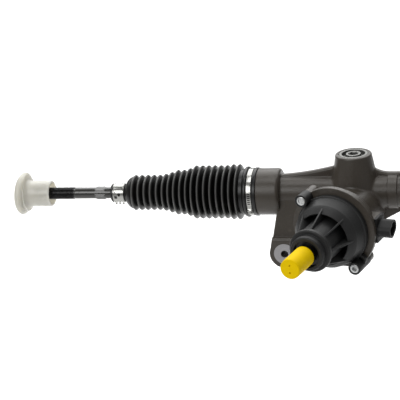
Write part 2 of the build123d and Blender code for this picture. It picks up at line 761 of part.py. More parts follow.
def bearing_outer():
    """Outer race of the pinion's ball bearing."""
    inner = ball_track() + BEARING_BALL / 2
    return on_pinion(ring(BEARING_RADIUS, inner, BEARING_AT, BEARING_WIDTH) - bearing_groove())


def bearing_inner():
    """Inner race of the pinion's ball bearing."""
    outer = ball_track() - BEARING_BALL / 2
    return on_pinion(ring(outer, BEARING_BORE, BEARING_AT, BEARING_WIDTH) - bearing_groove())


def bearing_balls():
    """Balls of the pinion's bearing."""
    ball = Pos(ball_track(), 0, BEARING_AT + BEARING_WIDTH / 2) * Sphere(BEARING_BALL)
    step = 360 / BEARING_BALLS
    return on_pinion(Compound([Rot(0, 0, step * n) * ball for n in range(BEARING_BALLS)]))


def needle_bearing():
    """Drawn cup needle bearing behind the rack."""
    start = TOWER_REAR_END + END_PLUG_LENGTH
    bore = REAR_JOURNAL_RADIUS + RUNNING_GAP
    return on_pinion(ring(NEEDLE_CUP_RADIUS - SEAT_GAP, bore, start, NEEDLE_CUP_LENGTH))


def end_plug():
    """Plug that closes the tower behind the needle bearing."""
    plug = post(NEEDLE_CUP_RADIUS - SEAT_GAP, TOWER_REAR_END, TOWER_REAR_END + END_PLUG_LENGTH)
    recess = post(NEEDLE_CUP_RADIUS / 2, TOWER_REAR_END - CUT_MARGIN, TOWER_REAR_END + END_PLUG_LENGTH / 2)
    return on_pinion(plug - recess)


def ring_nut():
    """Threaded ring that holds the ball bearing down."""
    return on_pinion(ring(BEARING_RADIUS, RING_NUT_BORE, BEARING_END, RING_NUT_LENGTH))


def sensor_magnet():
    """Magnet ring of the torque sensor on the input shaft."""
    return on_pinion(ring(MAGNET_RADIUS, INPUT_RADIUS, MAGNET_AT, MAGNET_LENGTH))


def sensor_stator():
    """Cup of the torque sensor that turns with the pinion round the magnet ring."""
    inner = MAGNET_RADIUS + STATOR_GAP
    cup_back = PINION_HEAD_END - PILOT_LENGTH
    sleeve_back = cup_back - STATOR_WALL
    cup = ring(inner + STATOR_WALL, PINION_HEAD_RADIUS, sleeve_back, STATOR_WALL)
    cup += ring(inner + STATOR_WALL, inner, cup_back, MAGNET_AT + MAGNET_LENGTH - cup_back)
    sleeve = PINION_HEAD_RADIUS + STATOR_SLEEVE
    cup += ring(sleeve, PINION_HEAD_RADIUS, BEARING_END + STATOR_GAP, sleeve_back - BEARING_END)
    return on_pinion(cup)


def sensor_board():
    """Fixed ring of the torque sensor inside the cover."""
    start = BELL_FACE - COVER_SPIGOT
    outer = BELL_BORE - COVER_SPIGOT_WALL - SEAT_GAP
    return on_pinion(ring(outer, BOARD_BORE, start, BOARD_THICKNESS))


def cover_shell():
    """Turned shape of the sensor cover: rim, shoulder, sloping face, pocket, hub, neck and step."""
    rim_front = BELL_FACE + COVER_RIM_LENGTH
    rim_inner = COVER_RADIUS - COVER_RIM_WIDTH
    spigot_inner = BELL_BORE - COVER_SPIGOT_WALL
    hub_inner = COVER_HUB_RADIUS - COVER_WALL
    pocket_outer = COVER_LIP_RADIUS - COVER_LIP_EDGE
    edge_inner = COVER_EDGE_RADIUS - COVER_EDGE_ROUND
    seal_seat = SEAL_RADIUS + SEAT_GAP
    shaft_hole = INPUT_RADIUS + COVER_SHAFT_GAP
    inner_floor = POCKET_FLOOR - COVER_WALL
    outline = Polygon(
        (COVER_RADIUS, BELL_FACE),
        (COVER_RADIUS, rim_front),
        (rim_inner, rim_front),
        (COVER_EDGE_RADIUS, COVER_EDGE_AT - COVER_EDGE_ROUND),
        (edge_inner, COVER_EDGE_AT + COVER_EDGE_ROUND / 2),
        (COVER_LIP_RADIUS, COVER_LIP_AT),
        (pocket_outer, COVER_LIP_AT - COVER_LIP_EDGE),
        (pocket_outer, POCKET_FLOOR),
        (COVER_HUB_RADIUS, POCKET_FLOOR),
        (COVER_HUB_RADIUS - COVER_HUB_TAPER, COVER_NECK_AT),
        (COVER_NECK_RADIUS - COVER_NECK_ROUND, COVER_NECK_AT),
        (COVER_NECK_RADIUS, COVER_NECK_AT + COVER_NECK_ROUND),
        (COVER_NECK_RADIUS, COVER_STEP_AT - COVER_NECK_ROUND),
        (COVER_NECK_RADIUS - COVER_NECK_ROUND, COVER_STEP_AT),
        (COVER_STEP_RADIUS, COVER_STEP_AT),
        (COVER_STEP_RADIUS, COVER_END - COVER_NECK_ROUND),
        (COVER_STEP_RADIUS - COVER_NECK_ROUND, COVER_END),
        (seal_seat, COVER_END),
        (seal_seat, SEAL_AT),
        (shaft_hole, SEAL_AT),
        (shaft_hole, SEAL_AT - COVER_WALL),
        (hub_inner - COVER_HUB_TAPER, SEAL_AT - 2 * COVER_WALL),
        (hub_inner, inner_floor),
        (pocket_outer + COVER_WALL, inner_floor),
        (pocket_outer + COVER_WALL, COVER_EDGE_AT - COVER_WALL),
        (COVER_EDGE_RADIUS - COVER_WALL, COVER_EDGE_AT - 2 * COVER_WALL),
        (COVER_EDGE_RADIUS - COVER_WALL, rim_front),
        (spigot_inner, BELL_FACE + COVER_WALL),
        (spigot_inner, BELL_FACE - COVER_SPIGOT),
        (BELL_BORE - SEAT_GAP, BELL_FACE - COVER_SPIGOT),
        (BELL_BORE - SEAT_GAP, BELL_FACE),
        align=None,
    )
    return revolve(Plane.XZ * outline, Axis.Z)


def cover_rib():
    """One rib from the edge of the sloping face across the pocket to the neck."""
    outline = Polygon(
        (COVER_HUB_RADIUS - COVER_RIB_SINK, POCKET_FLOOR - COVER_RIB_SINK),
        (COVER_LIP_RADIUS, POCKET_FLOOR - COVER_RIB_SINK),
        (COVER_EDGE_RADIUS - COVER_RIB_SINK, COVER_EDGE_AT),
        (COVER_HUB_RADIUS, COVER_NECK_AT),
        (COVER_HUB_RADIUS - 2 * COVER_RIB_SINK, COVER_NECK_AT),
        align=None,
    )
    return extrude(Plane.XZ * outline, COVER_RIB_THICKNESS / 2, both=True)


def ear_offset():
    """Place of the open hole in the rim beside the lower lug."""
    angle = math.radians(COVER_BOLT_ANGLE + 180 + EAR_TURN)
    reach = COVER_RADIUS + EAR_OUTSET
    return Pos(reach * math.cos(angle), reach * math.sin(angle), 0)


def sensor_cover():
    """Ribbed plastic cover over the torque sensor, with two screw lugs and an open ear."""
    cover = cover_shell()
    rib = cover_rib()
    for n in range(COVER_RIBS):
        cover += Rot(0, 0, 360 / COVER_RIBS * n) * rib
    rim_front = BELL_FACE + COVER_RIM_LENGTH
    web = Box(COVER_BOLT_CIRCLE, LUG_WEB, COVER_RIM_LENGTH, align=(Align.MIN, Align.CENTER, Align.MIN))
    web = Pos(0, 0, BELL_FACE) * web - post(COVER_EDGE_RADIUS, BELL_FACE - CUT_MARGIN, LUG_FRONT)
    cover += ear_offset() * post(EAR_RADIUS, BELL_FACE, rim_front)
    for turn, back in COVER_LUGS:
        cover += Rot(0, 0, COVER_BOLT_ANGLE + turn) * web
        cover += bolt_place(turn) * post(LUG_RADIUS, back, LUG_FRONT)
    cover -= ear_offset() * post(EAR_BORE, BELL_FACE - CUT_MARGIN, LUG_FRONT)
    for turn, back in COVER_LUGS:
        cover -= bolt_place(turn) * post(COVER_BOLT_RADIUS + THREAD_GAP, back - CUT_MARGIN, LUG_FRONT)
        cover -= bolt_place(turn) * post(COVER_BOLT_HEAD_RADIUS + LUG_GAP, LUG_SEAT, LUG_FRONT + CUT_MARGIN)
    return on_pinion(cover)


def cover_seal():
    """Sealing ring between the cover's spigot and the bell."""
    middle = BELL_BORE - COVER_SPIGOT_WALL / 2
    start = BELL_FACE - COVER_SPIGOT - 2 * COVER_RING_SECTION
    section = Pos(middle, 0, start + COVER_RING_SECTION) * Rot(90, 0, 0) * Circle(COVER_RING_SECTION)
    return on_pinion(revolve(section, Axis.Z))


def cover_bolts():
    """The two socket-head screws of the cover."""
    socket = extrude(RegularPolygon(COVER_BOLT_HEX / 2, 6, major_radius=False), COVER_BOLT_HEX_DEPTH)
    head = post(COVER_BOLT_HEAD_RADIUS, LUG_SEAT, LUG_FRONT)
    head -= Pos(0, 0, LUG_FRONT - COVER_BOLT_HEX_DEPTH) * socket
    bolts = []
    for turn, back in COVER_LUGS:
        bolt = head + post(COVER_BOLT_RADIUS, back - COVER_BOLT_GRIP, LUG_SEAT)
        bolts.append(bolt_place(turn) * bolt)
    return on_pinion(Compound(bolts))


def shaft_seal():
    """Seal round the input shaft in the step of the cover, with a dust lip along the shaft."""
    inner = INPUT_RADIUS + RUNNING_GAP
    outer = inner + SEAL_LIP_WALL
    seal_end = SEAL_AT + SEAL_LENGTH
    seal = spun(
        [
            (inner, SEAL_AT),
            (SEAL_RADIUS, SEAL_AT),
            (SEAL_RADIUS, seal_end),
            (outer, seal_end),
            (outer, SEAL_LIP_END),
            (inner, SEAL_LIP_END),
        ]
    )
    return on_pinion(seal)


def sensor_connector():
    """Connector shroud with contacts on the pad at the side of the bell."""
    mouth_width = CONNECTOR_WIDTH - 2 * CONNECTOR_WALL
    mouth_depth = CONNECTOR_DEPTH - 2 * CONNECTOR_WALL
    shroud = extrude(SlotOverall(CONNECTOR_WIDTH, CONNECTOR_DEPTH), CONNECTOR_REACH)
    shroud -= Pos(0, 0, CONNECTOR_FLOOR) * extrude(SlotOverall(mouth_width, mouth_depth), CONNECTOR_REACH)
    low = (Align.CENTER, Align.CENTER, Align.MIN)
    contact = Box(CONTACT_SIZE, CONTACT_SIZE, CONTACT_LENGTH, align=low)
    for n in range(CONTACT_COUNT):
        offset = (n - (CONTACT_COUNT - 1) / 2) * mouth_width / (CONTACT_COUNT + 1)
        shroud += Pos(offset, 0, CONNECTOR_FLOOR - CUT_MARGIN) * contact
    body = connector_block(0, CONNECTOR_PLATE)
    body += Rot(0, 0, -CONNECTOR_TILT) * shroud
    return on_pinion(connector_place() * Pos(0, 0, CONNECTOR_SEAT) * body)


def pinion_cap():
    """Soft cap pushed over the end of the input shaft, with two vent holes."""
    cap = post(PINION_CAP_RADIUS, PINION_CAP_START, PINION_CAP_END)
    ends = cap.edges().filter_by(GeomType.CIRCLE)
    cap = fillet(ends, PINION_CAP_ROUND)
    cap -= post(INPUT_RADIUS + RUNNING_GAP, PINION_CAP_START - CUT_MARGIN, INPUT_END + RUNNING_GAP)
    for side in (-1, 1):
        vent = post(PINION_CAP_VENT, INPUT_END - CUT_MARGIN, PINION_CAP_END + CUT_MARGIN)
        cap -= Pos(0, side * PINION_CAP_VENT_SPACING / 2, 0) * vent
    return on_pinion(cap)


def rack_bar():
    """Round rack with slanting teeth on its underside and threaded ends for the ball joints."""
    start = SOCKET_FACE_X
    bar = rod_x(RACK_RADIUS, start, flip(start))
    pitch_x = TOOTH_PITCH / math.cos(LEAN)
    pitch_z = PITCH_RADIUS - PINION_DROP
    half_length = (RACK_TEETH + 2) * pitch_x / 2
    tip_z = pitch_z - TOOTH_TIP
    flat = Box(2 * half_length, 2 * RACK_RADIUS, RACK_RADIUS, align=(Align.CENTER, Align.CENTER, Align.MAX))
    bar -= Pos(PINION_X, 0, tip_z) * flat
    slope = math.tan(math.radians(PRESSURE_ANGLE))
    pitch_half = TOOTH_PITCH / 4 + BACKLASH / 4
    mouth_half = pitch_half + (TOOTH_TIP + CUT_MARGIN) * slope
    root_half = pitch_half - TOOTH_ROOT * slope
    gap = Polygon(
        (-mouth_half, PITCH_RADIUS - TOOTH_TIP - CUT_MARGIN),
        (mouth_half, PITCH_RADIUS - TOOTH_TIP - CUT_MARGIN),
        (root_half, PITCH_RADIUS + TOOTH_ROOT),
        (-root_half, PITCH_RADIUS + TOOTH_ROOT),
        align=None,
    )
    cutter = on_pinion(extrude(gap, 2 * RACK_RADIUS, both=True))
    gaps = []
    for n in range(RACK_TEETH + 1):
        gaps.append(Pos((n - RACK_TEETH / 2) * pitch_x, 0, 0) * cutter)
    bar -= gaps
    hole_end = start + SOCKET_STUD_LENGTH + CUT_MARGIN
    stud_hole = rod_x(SOCKET_STUD_RADIUS + SEAT_GAP, start - CUT_MARGIN, hole_end)
    bar -= stud_hole
    bar -= mirrored(stud_hole)
    return bar


def yoke():
    """Pressure piece that bears on the back of the rack."""
    body = post(YOKE_RADIUS, YOKE_BOTTOM, YOKE_TOP)
    body -= rod_x(RACK_RADIUS + RUNNING_GAP, -2 * YOKE_RADIUS, 2 * YOKE_RADIUS)
    body -= post(YOKE_CUP_RADIUS, YOKE_TOP - YOKE_CUP_DEPTH, YOKE_TOP + CUT_MARGIN)
    return body


def yoke_springs():
    """Pair of disc springs between yoke and plug."""
    gap = BOSS_TOP - PLUG_HEIGHT - YOKE_TOP
    cone = gap / 2 - SPRING_PLATE
    disc = spun(
        [
            (SPRING_INNER, cone),
            (SPRING_OUTER, 0),
            (SPRING_OUTER, SPRING_PLATE),
            (SPRING_INNER, cone + SPRING_PLATE),
        ]
    )
    lower = Pos(0, 0, YOKE_TOP) * disc
    upper = mirror(lower, about=Plane.XY.offset(YOKE_TOP + gap / 2))
    return Compound([lower, upper])


def yoke_plug():
    """Adjusting plug screwed into the top of the boss."""
    bottom = BOSS_TOP - PLUG_HEIGHT
    plug = post(PLUG_RADIUS, bottom, BOSS_TOP)
    groove_start = BOSS_TOP - PLUG_GROOVE_DEPTH
    plug -= ring(PLUG_GROOVE_OUTER, PLUG_GROOVE_INNER, groove_start, PLUG_GROOVE_DEPTH + CUT_MARGIN)
    socket = extrude(RegularPolygon(PLUG_HEX / 2, 6, major_radius=False), PLUG_HEX_DEPTH + CUT_MARGIN)
    plug -= Pos(0, 0, BOSS_TOP - PLUG_HEX_DEPTH) * socket
    return plug


def rack_bush():
    """Plain bush that guides the far end of the rack."""
    end = flip(STOP_INNER_X) - BUSH_SHOULDER
    start = end - BUSH_LENGTH
    return rod_x(BUSH_RADIUS, start, end) - rod_x(RACK_RADIUS + RUNNING_GAP, start, end)


def stop_ring():
    """Damping ring in the end of the housing that the ball socket meets at full lock."""
    return rod_x(STOP_BORE, FACE_X, STOP_INNER_X) - rod_x(STOP_INNER, FACE_X, STOP_INNER_X)


def ball_socket():
    """Steel socket of the inner ball joint, screwed into the end of the rack."""
    mouth_x = BALL_X - SOCKET_MOUTH
    body_x = BALL_X + SOCKET_BODY
    socket = turned(
        [
            (mouth_x, 0),
            (mouth_x, SOCKET_MOUTH_RADIUS + SOCKET_LIP),
            (mouth_x + SOCKET_LIP_LENGTH, SOCKET_RADIUS),
            (body_x, SOCKET_RADIUS),
            (body_x + SOCKET_SHOULDER, SOCKET_SHANK_RADIUS),
            (SOCKET_FACE_X, SOCKET_SHANK_RADIUS),
            (SOCKET_FACE_X, SOCKET_STUD_RADIUS),
            (SOCKET_FACE_X + SOCKET_STUD_LENGTH, SOCKET_STUD_RADIUS),
            (SOCKET_FACE_X + SOCKET_STUD_LENGTH, 0),
        ]
    )
    flat = Box(SOCKET_FACE_X - body_x - SOCKET_FLAT_MARGIN, 2 * SOCKET_RADIUS, SOCKET_RADIUS)
    for side in (-1, 1):
        socket -= Pos((SOCKET_FACE_X + body_x) / 2, 0, side * (SOCKET_FLATS + SOCKET_RADIUS) / 2) * flat
    socket -= Pos(BALL_X, 0, 0) * Sphere(BALL_RADIUS + BALL_SEAT_WALL + 2 * BALL_GAP)
    socket -= turned(
        [
            (BALL_X, 0),
            (BALL_X, SOCKET_THROAT_RADIUS),
            (BALL_X - SOCKET_THROAT, SOCKET_THROAT_RADIUS),
            (mouth_x - CUT_MARGIN, SOCKET_MOUTH_RADIUS + SOCKET_LIP / 2),
            (mouth_x - CUT_MARGIN, 0),
        ]
    )
    return socket


def ball_seat():
    """Plastic seat between ball and socket."""
    outer = BALL_RADIUS + BALL_GAP + BALL_SEAT_WALL
    seat = Pos(BALL_X, 0, 0) * (Sphere(outer) - Sphere(BALL_RADIUS + BALL_GAP))
    seat -= rod_x(2 * outer, BALL_X - 2 * outer, BALL_X - BALL_SEAT_MOUTH)
    return seat


def tie_rod():
    """Inner tie rod with ball, neck, wrench flats and threaded end."""
    neck_x = BALL_X - BALL_RADIUS - ROD_NECK_LENGTH
    rod = turned(
        [
            (ROD_END_X, 0),
            (ROD_END_X, ROD_THREAD_RADIUS - ROD_CHAMFER),
            (ROD_END_X + ROD_CHAMFER, ROD_THREAD_RADIUS),
            (ROD_THREAD_X, ROD_THREAD_RADIUS),
            (ROD_THREAD_X + ROD_THREAD_RUNOUT, ROD_RADIUS),
            (neck_x - ROD_NECK_TAPER, ROD_RADIUS),
            (neck_x, ROD_NECK_RADIUS),
            (BALL_X, ROD_NECK_RADIUS),
            (BALL_X, 0),
        ]
    )
    rod += Pos(BALL_X, 0, 0) * Sphere(BALL_RADIUS)
    hexagon = Plane.YZ.offset(ROD_HEX_X) * RegularPolygon(ROD_HEX / 2, 6, major_radius=False)
    rod += extrude(hexagon, ROD_HEX_LENGTH)
    return rod


def bellows():
    """Rubber bellows between the housing and the tie rod."""
    count = len(BOOT_RIDGES)
    pitch = (BOOT_LAST_RIDGE - BOOT_FIRST_RIDGE) / (count - 1)
    clamp_end = LARGE_CLAMP_X + LARGE_CLAMP_WIDTH
    neck_bore = ROD_RADIUS + BALL_GAP
    seat_bore = SEAT_RADIUS + SEAT_GAP
    ring_radius = SEAT_RADIUS + BOOT_RING_WALL
    lip_radius = SEAT_RADIUS + BOOT_LIP_WALL
    outer = [
        (BOOT_NECK_X, BOOT_NECK_RADIUS + BOOT_NECK_LIP),
        (BOOT_NECK_X + BOOT_NECK_LIP_WIDTH, BOOT_NECK_RADIUS + BOOT_NECK_LIP),
        (BOOT_NECK_X + BOOT_NECK_LIP_WIDTH, BOOT_NECK_RADIUS),
        (BOOT_SHOULDER_X - BOOT_SHOULDER_RUN, BOOT_NECK_RADIUS),
        (BOOT_SHOULDER_X, BOOT_NECK_RADIUS + BOOT_SHOULDER_RISE),
    ]
    inner = [(BOOT_NECK_X, neck_bore), (BOOT_SHOULDER_X, neck_bore)]
    for n, radius in enumerate(BOOT_RIDGES):
        x = BOOT_FIRST_RIDGE + n * pitch
        outer.append((x - BOOT_CREST_FOOT / 2, radius - BOOT_CREST_DROP))
        outer.append((x - BOOT_CREST / 2, radius))
        outer.append((x + BOOT_CREST / 2, radius))
        outer.append((x + BOOT_CREST_FOOT / 2, radius - BOOT_CREST_DROP))
        inner.append((x, radius - BOOT_WALL))
        if n < count - 1:
            valley = radius - BOOT_DEPTH_SHARE * radius
            outer.append((x + pitch / 2, valley))
            inner.append((x + pitch / 2, valley - BOOT_WALL))
    outer += [
        (BOOT_LAST_RIDGE + pitch / 2, lip_radius - BOOT_WALL),
        (FACE_X - BOOT_WALL, ring_radius),
        (LARGE_CLAMP_X - BOOT_GROOVE_GAP, ring_radius),
        (LARGE_CLAMP_X - BOOT_GROOVE_GAP, LARGE_CLAMP_INNER),
        (clamp_end + BOOT_GROOVE_GAP, LARGE_CLAMP_INNER),
        (COLLAR_X - BOOT_LIP_WIDTH, lip_radius),
        (COLLAR_X, lip_radius),
    ]
    inner += [
        (FACE_X - BOOT_WALL, SEAT_RADIUS - BOOT_WALL),
        (FACE_X - SEAT_GAP, seat_bore),
        (COLLAR_X, seat_bore),
    ]
    return turned(outer + list(reversed(inner)))


def ear_place(x, angle, radius):
    """Location on a clamp band whose upright axis points outwards."""
    turn = math.radians(angle)
    outward = (0, math.cos(turn), math.sin(turn))
    return Plane(origin=(x, radius * outward[1], radius * outward[2]), x_dir=(1, 0, 0), z_dir=outward)


def large_clamp():
    """Band clamp with a pinched ear at the housing end of the bellows."""
    middle = LARGE_CLAMP_X + LARGE_CLAMP_WIDTH / 2
    inner = LARGE_CLAMP_INNER + SEAT_GAP
    outer = inner + LARGE_CLAMP_BAND
    end = LARGE_CLAMP_X + LARGE_CLAMP_WIDTH
    ear = Box(LARGE_CLAMP_WIDTH, LARGE_EAR_LENGTH, 2 * LARGE_EAR_HEIGHT)
    ear = fillet(ear.edges().filter_by(Axis.X).group_by(Axis.Z)[-1], LARGE_EAR_HEIGHT / 2)
    clamp = rod_x(outer, LARGE_CLAMP_X, end) + ear_place(middle, LARGE_EAR_ANGLE, outer) * ear
    clamp -= rod_x(inner, LARGE_CLAMP_X - CUT_MARGIN, end + CUT_MARGIN)
    slot = Box(LARGE_SLOT_LENGTH, LARGE_SLOT_WIDTH, LARGE_EAR_HEIGHT)
    for n in range(LARGE_SLOTS):
        clamp -= ear_place(middle, LARGE_SLOT_ANGLE + n * LARGE_SLOT_STEP, outer) * slot
    return clamp


def small_clamp():
    """Wide spring band with toothed ears at the rod end of the bellows."""
    inner = BOOT_NECK_RADIUS + BALL_GAP
    outer = inner + SMALL_CLAMP_BAND
    end = SMALL_CLAMP_X + SMALL_CLAMP_WIDTH
    clamp = rod_x(outer, SMALL_CLAMP_X, end)
    pitch = SMALL_CLAMP_WIDTH / SMALL_EAR_TEETH
    for n in range(SMALL_EAR_TEETH):
        tooth = Box(pitch / 2, SMALL_EAR_LENGTH, 2 * SMALL_EAR_HEIGHT)
        clamp += ear_place(SMALL_CLAMP_X + (n + 0.5) * pitch, SMALL_EAR_ANGLE, outer) * tooth
    clamp -= rod_x(inner, SMALL_CLAMP_X - CUT_MARGIN, end + CUT_MARGIN)
    middle = (SMALL_CLAMP_X + end) / 2
    clamp -= ear_place(middle, SMALL_HOLE_ANGLE, outer) * Cylinder(SMALL_HOLE_RADIUS, SMALL_EAR_HEIGHT)
    clamp -= ear_place(middle, SMALL_WINDOW_ANGLE, outer) * Box(SMALL_WINDOW, SMALL_WINDOW, SMALL_EAR_HEIGHT)
    return clamp


def thread_cap():
    """Domed plastic cap that protects the thread of the tie rod."""
    hub = rod_x(CAP_HUB_RADIUS, CAP_FLANGE_X, CAP_END_X)
    hub = fillet(hub.edges().filter_by(GeomType.CIRCLE).sort_by(Axis.X)[-1], CAP_HUB_ROUND)
    rim = CAP_FLANGE_RADIUS - CAP_FLANGE_EDGE
    edge = ThreePointArc((CAP_FLANGE_EDGE, rim), (0, CAP_FLANGE_RADIUS), (-CAP_FLANGE_EDGE, rim))
    dome_x = -CAP_FLANGE_EDGE - CAP_DOME
    dome_radius = (rim**2 + CAP_DOME**2) / (2 * CAP_DOME)
    half = math.asin(rim / dome_radius) / 2
    middle = (dome_x + dome_radius * (1 - math.cos(half)), dome_radius * math.sin(half))
    dome = ThreePointArc((-CAP_FLANGE_EDGE, rim), middle, (dome_x, 0))
    rest = Polyline((dome_x, 0), (CAP_FLANGE_EDGE, 0), (CAP_FLANGE_EDGE, rim))
    flange = revolve(Plane.XZ * make_face(Curve() + [edge, dome, rest]), Axis.X)
    cap = hub + Pos(CAP_FLANGE_X, 0, 0) * Rot(0, CAP_FLANGE_TILT, 0) * flange
    return cap - rod_x(ROD_THREAD_RADIUS + BALL_GAP, CAP_BORE_END_X, CAP_END_X + CUT_MARGIN)


CENTRE_PIECES = {
    "housing": housing,
    "yoke": yoke,
    "yoke_springs": yoke_springs,
    "yoke_plug": yoke_plug,
    "rack_bar": rack_bar,
    "rack_bush": rack_bush,
    "pinion": pinion,
    "torsion_bar": torsion_bar,
    "input_shaft": input_shaft,
    "pinion_bearing_outer": bearing_outer,
    "pinion_bearing_inner": bearing_inner,
    "pinion_bearing_balls": bearing_balls,
    "needle_bearing": needle_bearing,
    "tower_end_plug": end_plug,
    "bearing_ring_nut": ring_nut,
    "sensor_magnet": sensor_magnet,
    "sensor_stator": sensor_stator,
    "sensor_board": sensor_board,
    "sensor_cover": sensor_cover,
    "cover_seal": cover_seal,
    "cover_bolts": cover_bolts,
    "shaft_seal": shaft_seal,
    "sensor_connector": sensor_connector,
    "pinion_cap": pinion_cap,
}
SIDE_PIECES = {
    "bellows": bellows,
    "large_clamp": large_clamp,
    "small_clamp": small_clamp,
    "ball_socket": ball_socket,
    "ball_seat": ball_seat,
    "tie_rod": tie_rod,
    "thread_cap": thread_cap,
    "stop_ring": stop_ring,
}


def main():
    """Makes every piece and writes it to its own file."""
    os.makedirs("parts", exist_ok=True)
    pieces = {name: make() for name, make in CENTRE_PIECES.items()}
    for name, make in SIDE_PIECES.items():
        left = make()
        pieces["left_" + name] = left
        pieces["right_" + name] = mirrored(left)
    for name, piece in pieces.items():
        export_step(GEAR_CENTRE * piece, f"parts/{name}.step")


main()
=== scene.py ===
import json
import math

import bpy
from bpy.props import FloatProperty, FloatVectorProperty, IntProperty, PointerProperty
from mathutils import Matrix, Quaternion, Vector


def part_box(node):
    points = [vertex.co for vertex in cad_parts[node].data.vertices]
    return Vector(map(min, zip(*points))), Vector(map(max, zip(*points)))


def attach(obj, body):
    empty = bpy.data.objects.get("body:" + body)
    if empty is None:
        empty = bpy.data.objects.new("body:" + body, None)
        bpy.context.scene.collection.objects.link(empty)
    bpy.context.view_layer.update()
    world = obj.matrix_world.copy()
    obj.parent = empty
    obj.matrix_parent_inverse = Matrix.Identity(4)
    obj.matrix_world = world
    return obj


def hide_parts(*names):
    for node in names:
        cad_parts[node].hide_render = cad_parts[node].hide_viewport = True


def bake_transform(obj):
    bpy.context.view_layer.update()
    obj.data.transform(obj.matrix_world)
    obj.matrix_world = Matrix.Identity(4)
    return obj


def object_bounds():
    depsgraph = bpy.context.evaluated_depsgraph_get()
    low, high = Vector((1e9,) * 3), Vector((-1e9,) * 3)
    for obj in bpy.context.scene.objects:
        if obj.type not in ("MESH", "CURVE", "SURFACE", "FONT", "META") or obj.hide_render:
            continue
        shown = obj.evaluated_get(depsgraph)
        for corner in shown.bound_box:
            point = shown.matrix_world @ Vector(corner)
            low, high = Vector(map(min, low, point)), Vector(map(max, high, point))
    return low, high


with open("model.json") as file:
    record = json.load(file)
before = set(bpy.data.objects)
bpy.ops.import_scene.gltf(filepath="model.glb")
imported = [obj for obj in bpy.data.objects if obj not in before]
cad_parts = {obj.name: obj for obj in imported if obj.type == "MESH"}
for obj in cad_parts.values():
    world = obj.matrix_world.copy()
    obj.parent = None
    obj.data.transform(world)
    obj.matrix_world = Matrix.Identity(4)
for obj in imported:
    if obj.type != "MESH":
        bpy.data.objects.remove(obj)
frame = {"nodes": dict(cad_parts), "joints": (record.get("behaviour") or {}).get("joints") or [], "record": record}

bl_info = {
    "name": "Steering rack",
    "version": (1, 0, 0),
    "blender": (4, 5, 0),
    "location": "View3D > Sidebar > Steering rack",
    "description": "Dresses a rack-and-pinion steering gear with rubber, steel, plastic and cast metal",
    "category": "Add Mesh",
}

CAD_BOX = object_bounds()
NODES = frame["nodes"]
JOINTS = {joint["name"]: joint for joint in frame["joints"]}
SLOT_OF_NODE = {part["node"]: part["material_slot"] for part in frame["record"]["subparts"]}
SIDES = ("left", "right")

# Points closer than this are one
MERGE = 1e-7

# The attribute that marks the crests of the bellows for their painted highlight, and the crests' radii from the
# rod end to the housing
CREST = "crest"
CREST_RADII = (0.0204,) * 5 + (0.0214, 0.0234, 0.0257, 0.0258, 0.0275) + (0.0305,) * 6 + (0.0314,) * 2

# The two axes that everything is turned about, and the plane between the two sides
RACK_LOW, RACK_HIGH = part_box("rack_bar")
RACK_MIDDLE = (RACK_LOW + RACK_HIGH) / 2
ALONG_RACK = Vector((1, 0, 0))
UP = Vector((0, 0, 1))
PINION_AT = Vector(JOINTS["pinion_turn"]["pos_m"])
ALONG_PINION = -Vector(JOINTS["pinion_turn"]["axis"]).normalized()
ACROSS_PINION = UP.cross(ALONG_PINION).normalized()


class Sock:
    """A shader value that takes part in arithmetic: every operator adds its Math node."""

    def __init__(self, finish, socket):
        self.finish = finish
        self.socket = socket

    def __add__(self, other):
        return self.finish.math("ADD", self, other)

    def __sub__(self, other):
        return self.finish.math("SUBTRACT", self, other)

    def __rsub__(self, other):
        return self.finish.math("SUBTRACT", other, self)

    def __mul__(self, other):
        return self.finish.math("MULTIPLY", self, other)

    __radd__ = __add__
    __rmul__ = __mul__


